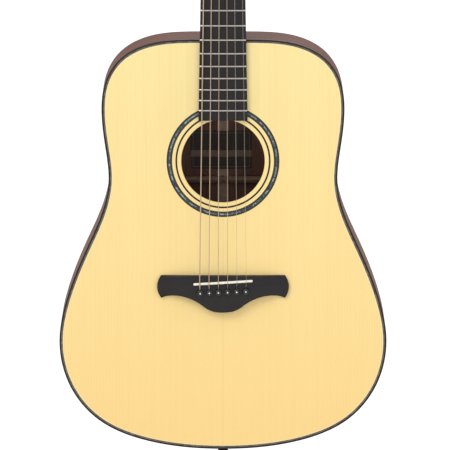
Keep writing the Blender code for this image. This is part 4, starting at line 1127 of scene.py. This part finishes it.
def cover_outline():
    """Bell shape that widens towards the nut."""
    right = [(0.0105, 0.0026), (0.0115, 0.0034), (0.0120, 0.0060), (0.0115, 0.0090), (0.0105, 0.0120),
             (0.0090, 0.0160), (0.0075, 0.0200), (0.0062, 0.0240), (0.0052, 0.0280), (0.0044, 0.0320),
             (0.0034, 0.0342), (0.0018, 0.0353)]
    return right + [(-x, y) for x, y in right[::-1]]


def veneer_and_cover():
    rings = rounded_prism(head_outline(0.0004, 1), 0.0, VENEER_THICK + GAP, 0.0005)
    veneer = skinned("headstock_face", rings, "headstock_wood", "ebony", matrix=HEAD_FRAME)
    apply_cut(veneer, [box_rings((-0.0052, -0.001, -0.001), (0.0052, 0.0205, 0.005))], matrix=HEAD_FRAME)
    apply_cut(veneer, post_holes(POST_RADIUS + 0.0004, -0.001, 0.005), matrix=HEAD_FRAME)
    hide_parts("headstock_veneer")
    low = GAP + VENEER_THICK
    cover = skinned("truss_cover", rounded_prism(cover_outline(), low, low + COVER_THICK, 0.0005),
                    "black_plastic", "ebony", matrix=HEAD_FRAME)
    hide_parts("truss_rod_cover")
    bm = bmesh.new()
    for x, y in ((-0.0082, 0.0062), (0.0082, 0.0062), (0.0, 0.0312)):
        screw(bm, HEAD_FRAME @ Matrix.Translation((x, y, low + COVER_THICK)), 0.0013)
    make_piece("truss_cover_screws", bm, "nickel", "steel")


def nut():
    """Bone nut: sections along z whose crown falls away behind, notched for each string."""
    xs = set(np.linspace(-NUT_HALF, NUT_HALF, 33))
    notches = []
    for share, radius in zip(string_shares(), STRING_RADII):
        x, half = share * SPREAD_AT_NUT, radius + 0.0002
        notches.append((x - half, x + half, camber(x) - NUT_SLOT_HEIGHT))
        xs = {v for v in xs if not x - half - 0.0001 <= v <= x + half + 0.0001}
        xs |= {x - half - 0.00005, x - half, x + half, x + half + 0.00005}
    xs = sorted(xs)
    rings = []
    for z, fall in ((-NUT_THICK, 0.0002), (-NUT_THICK + 0.0003, 0.0), (-0.0035, 0.0), (-0.0025, 0.0002),
                    (-0.0015, 0.0006), (-0.0006, 0.0012), (-0.0001, 0.0019)):
        ring = [(NUT_HALF, 0.0, z), (-NUT_HALF, 0.0, z)]
        for x in xs:
            edge = 0.0006 * max(0.0, (abs(x) - NUT_HALF + 0.001) / 0.001) ** 2
            y = camber(x) - NUT_SLOT_HEIGHT - 0.0008 + fall + edge
            for low, high, bottom in notches:
                if low - 1e-7 <= x <= high + 1e-7:
                    y = max(y, bottom)
            ring.append((x, y, z))
        rings.append(ring)
    piece = skinned("nut_bone", rings, "bone", "bone")
    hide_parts("nut")


# Tuners.

def gear_rings():
    """Tooth outlines twisted a little from face to face, with a softened rim."""
    twist = math.atan(WORM_PITCH / (2 * math.pi * 0.0023)) * (GEAR_THICK / 2) / 0.0040
    pitch = 2 * math.pi / GEAR_TEETH
    low, high = GEAR_LEVEL - GEAR_THICK / 2, GEAR_LEVEL + GEAR_THICK / 2
    rings = []
    for level, shrink in ((low, 0.0002), (low + 0.0002, 0.0), (high - 0.0002, 0.0), (high, 0.0002)):
        turn = twist * (level - GEAR_LEVEL) / (GEAR_THICK / 2)
        ring = []
        for tooth in range(GEAR_TEETH):
            centre = -math.pi / 2 + (tooth + 0.5) * pitch + turn
            for radius, share in ((GEAR_ROOT, -0.38), (GEAR_ROOT, -0.27), (GEAR_OUTER - 0.00008, -0.155),
                                  (GEAR_OUTER, -0.10), (GEAR_OUTER, 0.10), (GEAR_OUTER - 0.00008, 0.155),
                                  (GEAR_ROOT, 0.27), (GEAR_ROOT, 0.38)):
                angle = centre + share * pitch
                r = radius - shrink
                ring.append((r * math.cos(angle), r * math.sin(angle), level))
        rings.append(ring)
    return rings


def tuner_post(number, x, y):
    place = HEAD_FRAME @ Matrix.Translation((x, y, 0))
    body = f"tuner_post_{number}"
    top = POST_HIGH
    profile = [(0.0022, GEAR_LEVEL + 0.0016), (POST_RADIUS, GEAR_LEVEL + 0.0017), (POST_RADIUS, 0.0045),
               (POST_RADIUS - 0.00012, 0.0052), (POST_RADIUS - 0.00012, 0.0100), (POST_RADIUS, 0.0107),
               (POST_RADIUS, top - 0.0009), (POST_RADIUS - 0.0003, top - 0.0003), (POST_RADIUS - 0.0008, top),
               (0.0004, top)]
    post = skinned(f"post_{number}", turned_rings(profile, 40), "nickel", "nickel", body=body, matrix=place)
    bore = Matrix.Translation((0, 0, 0.0074)) @ Matrix.Rotation(math.pi / 2, 4, "X")
    apply_cut(post, [turned_rings([(0.0009, -0.005), (0.0009, 0.005)], 20)], matrix=place @ bore)
    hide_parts(f"tuner_post_{number}")
    gear = skinned(f"gear_{number}", gear_rings(), "gear_brass", "nickel", body=body, matrix=place, smooth=30)
    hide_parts(f"tuner_post_{number}")
    bm = bmesh.new()
    under = Matrix.Translation((0, 0, GEAR_LEVEL - GEAR_THICK / 2)) @ Matrix.Rotation(math.pi, 4, "X")
    screw(bm, place @ under, 0.0021, 0.0008)
    make_piece(f"gear_screw_{number}", bm, "steel", "steel", body=body)
    section = [(0.0033, 0.0021), (0.0050, 0.0021), (0.0052, 0.0024), (0.0050, 0.0030), (0.0042, 0.0034),
               (0.0036, 0.0034), (0.0033, 0.0032)]
    skinned(f"ferrule_{number}", ring_rings(section, 40), "nickel", "nickel", closed=True, matrix=place)


def worm_rings():
    """Screw thread along X as a surface whose radius follows the thread's phase."""
    sides, per_turn = 32, 20
    reach = (WORM_TURNS / 2) * WORM_PITCH
    rings = []
    steps = int(WORM_TURNS * per_turn)
    for k in range(steps + 1):
        along = -reach + 2 * reach * k / steps
        fade = min(1.0, (reach - abs(along)) / (0.3 * WORM_PITCH))
        ring = []
        for side in range(sides):
            share = side / sides
            phase = (along / WORM_PITCH - share + 0.5) % 1.0 - 0.5
            lift = min(1.0, max(0.0, (0.27 - abs(phase)) / 0.15))
            radius = WORM_CORE + (WORM_OUTER - WORM_CORE) * lift * fade
            angle = 2 * math.pi * share
            ring.append((along, radius * math.cos(angle), radius * math.sin(angle)))
        rings.append(ring)
    return rings


def tuner_knob(number, sign, x, y):
    place = HEAD_FRAME @ Matrix.Translation((x, y - WORM_OFFSET, GEAR_LEVEL))
    body = f"tuner_knob_{number}"
    start = KNOB_START - POST_ACROSS
    shaft = []
    for along, radius in ((-0.0072, 0.0010), (-0.0070, SHAFT_RADIUS), (start - 0.0016, SHAFT_RADIUS),
                          (start - 0.0014, 0.0024), (start - 0.0002, 0.0026), (start + 0.001, 0.0026)):
        shaft.append([(sign * along, b, a) for a, b, _ in circle(radius, 0, 24)])
    skinned(f"tuner_shaft_{number}", shaft, "nickel", "nickel", body=body, matrix=place)
    skinned(f"tuner_worm_{number}", worm_rings(), "nickel", "nickel", body=body, matrix=place, smooth=30)
    rings = []
    for i in range(33):
        share = i / 32
        along = start + 0.0001 + (KNOB_LONG - 0.0001) * share
        swell = math.sin(math.pi * min(1.0, max(0.0, (share - 0.06) / 0.94)) ** 0.80) if share > 0.06 else 0.0
        wide = 0.0031 + 0.0059 * max(0.0, swell) ** 0.62
        deep = 0.0029 + 0.0009 * max(0.0, swell) ** 0.8
        if share > 0.86:
            closing = math.sqrt(max(0.0, 1 - ((share - 0.86) / 0.14) ** 2))
            wide *= 0.25 + 0.75 * closing
            deep *= 0.30 + 0.70 * closing
        ring = []
        for a in angles_round(40):
            flattened = math.copysign(abs(math.sin(a)) ** 0.8, math.sin(a))
            ring.append((sign * along, wide * math.cos(a), deep * flattened))
        rings.append(ring)
    button = skinned(f"button_{number}", rings, "pearl_button", "pearl_button", body=body, matrix=place,
                     smooth=60)
    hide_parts(f"tuner_knob_{number}")


def tuner_plate(name, node, sign):
    """Strip with round corners, bearing lugs for the worms, and its screws."""
    x = sign * POST_ACROSS
    low, high = PLATE_TOP - TUNER_PLATE_THICK, PLATE_TOP + GAP
    bottom, top, half, round_by = POST_ALONG[0] - 0.016, POST_ALONG[2] + 0.012, 0.0075, 0.003
    outline = []
    for cx, cy, first in ((half - round_by, top - round_by, 0), (round_by - half, top - round_by, 1),
                          (round_by - half, bottom + round_by, 2), (half - round_by, bottom + round_by, 3)):
        for i in range(7):
            a = math.pi / 2 * (first + i / 6)
            outline.append((x + cx + round_by * math.cos(a), cy + round_by * math.sin(a)))
    plate = skinned(name, rounded_prism(outline, low, high, 0.0004), "nickel", "nickel", matrix=HEAD_FRAME)
    lugs = []
    for y in POST_ALONG:
        axis = y - WORM_OFFSET
        shape = [(axis + 0.0024, low + 0.0004)]
        for i in range(13):
            a = math.pi * i / 12
            shape.append((axis + 0.0024 * math.cos(a), GEAR_LEVEL - 0.0024 * math.sin(a)))
        shape.append((axis - 0.0024, low + 0.0004))
        for face in LUG_FACES:
            lugs.append([[(x + along, py, pn) for py, pn in shape] for along in (face, face + LUG_THICK)])
    apply_cut(plate, lugs, "UNION", HEAD_FRAME)
    bores = []
    shaft_bore = turned_rings([(SHAFT_RADIUS + 0.0002, -0.008), (SHAFT_RADIUS + 0.0002, 0.008)], 24)
    post_bore = turned_rings([(POST_RADIUS + GAP, low - 0.001), (POST_RADIUS + GAP, high + 0.001)], 32)
    for y in POST_ALONG:
        turn = Matrix.Translation((x, y - WORM_OFFSET, GEAR_LEVEL)) @ Matrix.Rotation(math.pi / 2, 4, "Y")
        bores += [moved(shaft_bore, turn), moved(post_bore, Matrix.Translation((x, y, 0)))]
    apply_cut(plate, bores, matrix=HEAD_FRAME)
    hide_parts(node)
    bm = bmesh.new()
    flip = Matrix.Rotation(math.pi, 4, "X")
    for y in (bottom + 0.0035, POST_ALONG[0] + 0.0165, POST_ALONG[1] + 0.0165, top - 0.0032):
        screw(bm, HEAD_FRAME @ Matrix.Translation((x, y, low)) @ flip, 0.0016, 0.0007)
    make_piece(f"{name}_screws", bm, "steel", "steel")


# Strings.

def wrap_points(radius, sign, x, y):
    """Turns round the post in the headstock's frame, climbing from the taut side."""
    steps, turns = 24, 2.4 if radius > 0.0004 else 3.4
    reach = POST_RADIUS + radius + 0.00008
    start = 0.0 if sign < 0 else math.pi
    points = []
    for i in range(int(steps * turns) + 1):
        angle = start - sign * 2 * math.pi * i / steps
        level = 0.0058 + (2 * radius + 0.0001) * i / steps
        points.append(HEAD_FRAME @ Vector((x + reach * math.cos(angle), y + reach * math.sin(angle), level)))
    return points


def tube_rings(route, radius, sides):
    """Rings along a route, mitred at its bends and never twisted between them."""
    rings = []
    directions = [(b - a).normalized() for a, b in zip(route, route[1:])]
    up = directions[0].orthogonal().normalized()
    for i, point in enumerate(route):
        before = directions[max(i - 1, 0)]
        after = directions[min(i, len(directions) - 1)]
        if i > 1:
            up = before.rotation_difference(after) @ up
        tangent = (before + after).normalized()
        first = (up - up.dot(after) * after).normalized()
        second = after.cross(first)
        ring = []
        for angle in angles_round(sides):
            offset = radius * (math.cos(angle) * first + math.sin(angle) * second)
            offset = offset - after * (offset.dot(tangent) / after.dot(tangent))
            ring.append(point + offset)
        rings.append(ring)
        up = first
    return rings


def rounded_route(points, radius):
    """The route with each listed corner replaced by a short smooth curve."""
    route = [points[0]]
    for before, here, after in zip(points, points[1:], points[2:]):
        reach = min(radius, 0.45 * (here - before).length, 0.45 * (after - here).length)
        start = here + (before - here).normalized() * reach
        end = here + (after - here).normalized() * reach
        for i in range(5):
            t = i / 4
            route.append((1 - t) ** 2 * start + 2 * t * (1 - t) * here + t * t * end)
    route.append(points[-1])
    return route


def strings():
    for (number, sign, x, y), share, radius in zip(post_places(), string_shares(), STRING_RADII):
        pin_x, pin_z = pin_place(share)
        lift = radius + 0.00005
        slot_z = pin_z + STRING_BEHIND_PIN - 0.0003
        saddle_x = share * SPREAD_AT_SADDLE
        saddle_z = from_tail(SADDLE_FROM_TAIL) + SADDLE_SLOPE * saddle_x
        nut_x = share * SPREAD_AT_NUT
        nut_y = camber(nut_x) - NUT_SLOT_HEIGHT - lift
        wraps = wrap_points(radius, sign, x, y)
        head = [Vector((pin_x, 0.0095, slot_z)), Vector((pin_x, -BRIDGE_THICK + 0.0002, slot_z)),
                Vector((saddle_x, camber(saddle_x) - SADDLE_HEIGHT - lift, saddle_z - 0.0004)),
                Vector((saddle_x, camber(saddle_x) - SADDLE_HEIGHT - lift, saddle_z + 0.0004)),
                Vector((nut_x, nut_y, -NUT_THICK)), Vector((nut_x, nut_y, -0.0030)), wraps[0]]
        route = rounded_route(head, 0.0012) + wraps[1:]
        look = "wound_bronze" if number > 2 else "plain_steel"
        slot = "bronze" if number > 2 else "steel"
        sides = 12 if number > 2 else 10
        piece = skinned(f"string_wire_{number}", tube_rings(route, radius, sides), look, slot, smooth=60)
        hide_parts(f"string_{number}")
        ball = Matrix.Translation((pin_x, 0.0100, slot_z)) @ Matrix.Rotation(-math.pi / 2, 4, "X")
        profile = [(0.0006, 0.0), (0.0015, 0.0004), (0.0015, 0.0034), (0.0007, 0.0040)]
        skinned(f"string_ball_{number}", turned_rings(profile, 20), "gear_brass", "bronze", matrix=ball)


# Nodes of the CAD frame that keep their own shape.

CAD_LOOKS = {
    "brace_spruce": ("top_lining", "back_lining", "x_brace_1", "x_brace_2", "tone_bar_1", "tone_bar_2"),
    "brace_spruce_across": ("upper_transverse_brace", "bridge_plate", "back_brace_1", "back_brace_2",
                            "back_brace_3", "back_brace_4"),
    "strip_spruce": ("back_center_strip",),
    "mahogany_block": ("neck_block", "tail_block"),
    "steel": ("truss_rod",),
}


def carry_over():
    for look, names in CAD_LOOKS.items():
        for name in names:
            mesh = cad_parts[name].data
            mesh.materials.clear()
            mesh.materials.append(MATERIALS[look])


# Surroundings.

def stage():
    bm = bmesh.new()
    half, level = FLOOR_HALF, TAIL_Z - FLOOR_BELOW_TAIL
    corners = ((-half, -half), (half, -half), (half, half), (-half, half))
    bm.faces.new([bm.verts.new((x, y, level)) for x, y in corners])
    mesh = bpy.data.meshes.new("studio_floor")
    bm.to_mesh(mesh)
    bm.free()
    floor = link_object("studio_floor", mesh)
    g = Graph("floor_paint", roughness=0.9, specular=0.1)
    speckle = g.noise(g.scaled(3), detail=2)
    g.colour(g.mix(speckle, (0.90, 0.90, 0.90), (0.93, 0.93, 0.93)))
    mesh.materials.append(g.material)


def sun(name, strength, angle, azimuth, elevation):
    """Soft sun; azimuth 0 shines from the front, and positive azimuth from the treble side."""
    data = bpy.data.lights.new(name, "SUN")
    data.energy = strength
    data.angle = math.radians(angle)
    a, e = math.radians(azimuth), math.radians(elevation)
    towards = Vector((math.sin(a) * math.cos(e), -math.cos(a) * math.cos(e), math.sin(e)))
    link_object(name, data).rotation_euler = towards.to_track_quat("Z", "Y").to_euler()


def light():
    world = bpy.data.worlds.new("studio")
    world.use_nodes = True
    background = world.node_tree.nodes["Background"]
    background.inputs["Color"].default_value = (1, 1, 1, 1)
    background.inputs["Strength"].default_value = 0.90
    bpy.context.scene.world = world
    sun("key", 1.05, 26, -38, 42)
    sun("fill", 0.30, 60, 60, 25)
    sun("rear", 0.6, 30, 170, 35)
    bpy.context.scene.view_settings.view_transform = "Standard"
    bpy.context.scene.view_settings.look = "None"


def camera():
    data = bpy.data.cameras.new("camera")
    data.sensor_width = 36
    data.lens = CAMERA_LENS
    data.clip_end = 2000
    obj = link_object("camera", data)
    away = Vector((0, -math.cos(CAMERA_TILT), math.sin(CAMERA_TILT)))
    obj.location = Vector((0.0024, 0.0, from_tail(TARGET_FROM_TAIL))) + CAMERA_AWAY * away
    obj.rotation_euler = away.to_track_quat("Z", "Y").to_euler()
    bpy.context.scene.camera = obj


def main():
    for step in (make_materials, camera, light, stage, bindings, sides, soundboard, rosette, back, label,
                 end_pin, bridge, saddle, bridge_pins, neck, truss_rod, veneer_and_cover, fretboard, nut):
        step()
    for number, sign, x, y in post_places():
        tuner_post(number, x, y)
        tuner_knob(number, sign, x, y)
    tuner_plate("tuner_strip_bass", "tuner_plate_bass", -1)
    tuner_plate("tuner_strip_treble", "tuner_plate_treble", 1)
    strings()
    carry_over()


main()
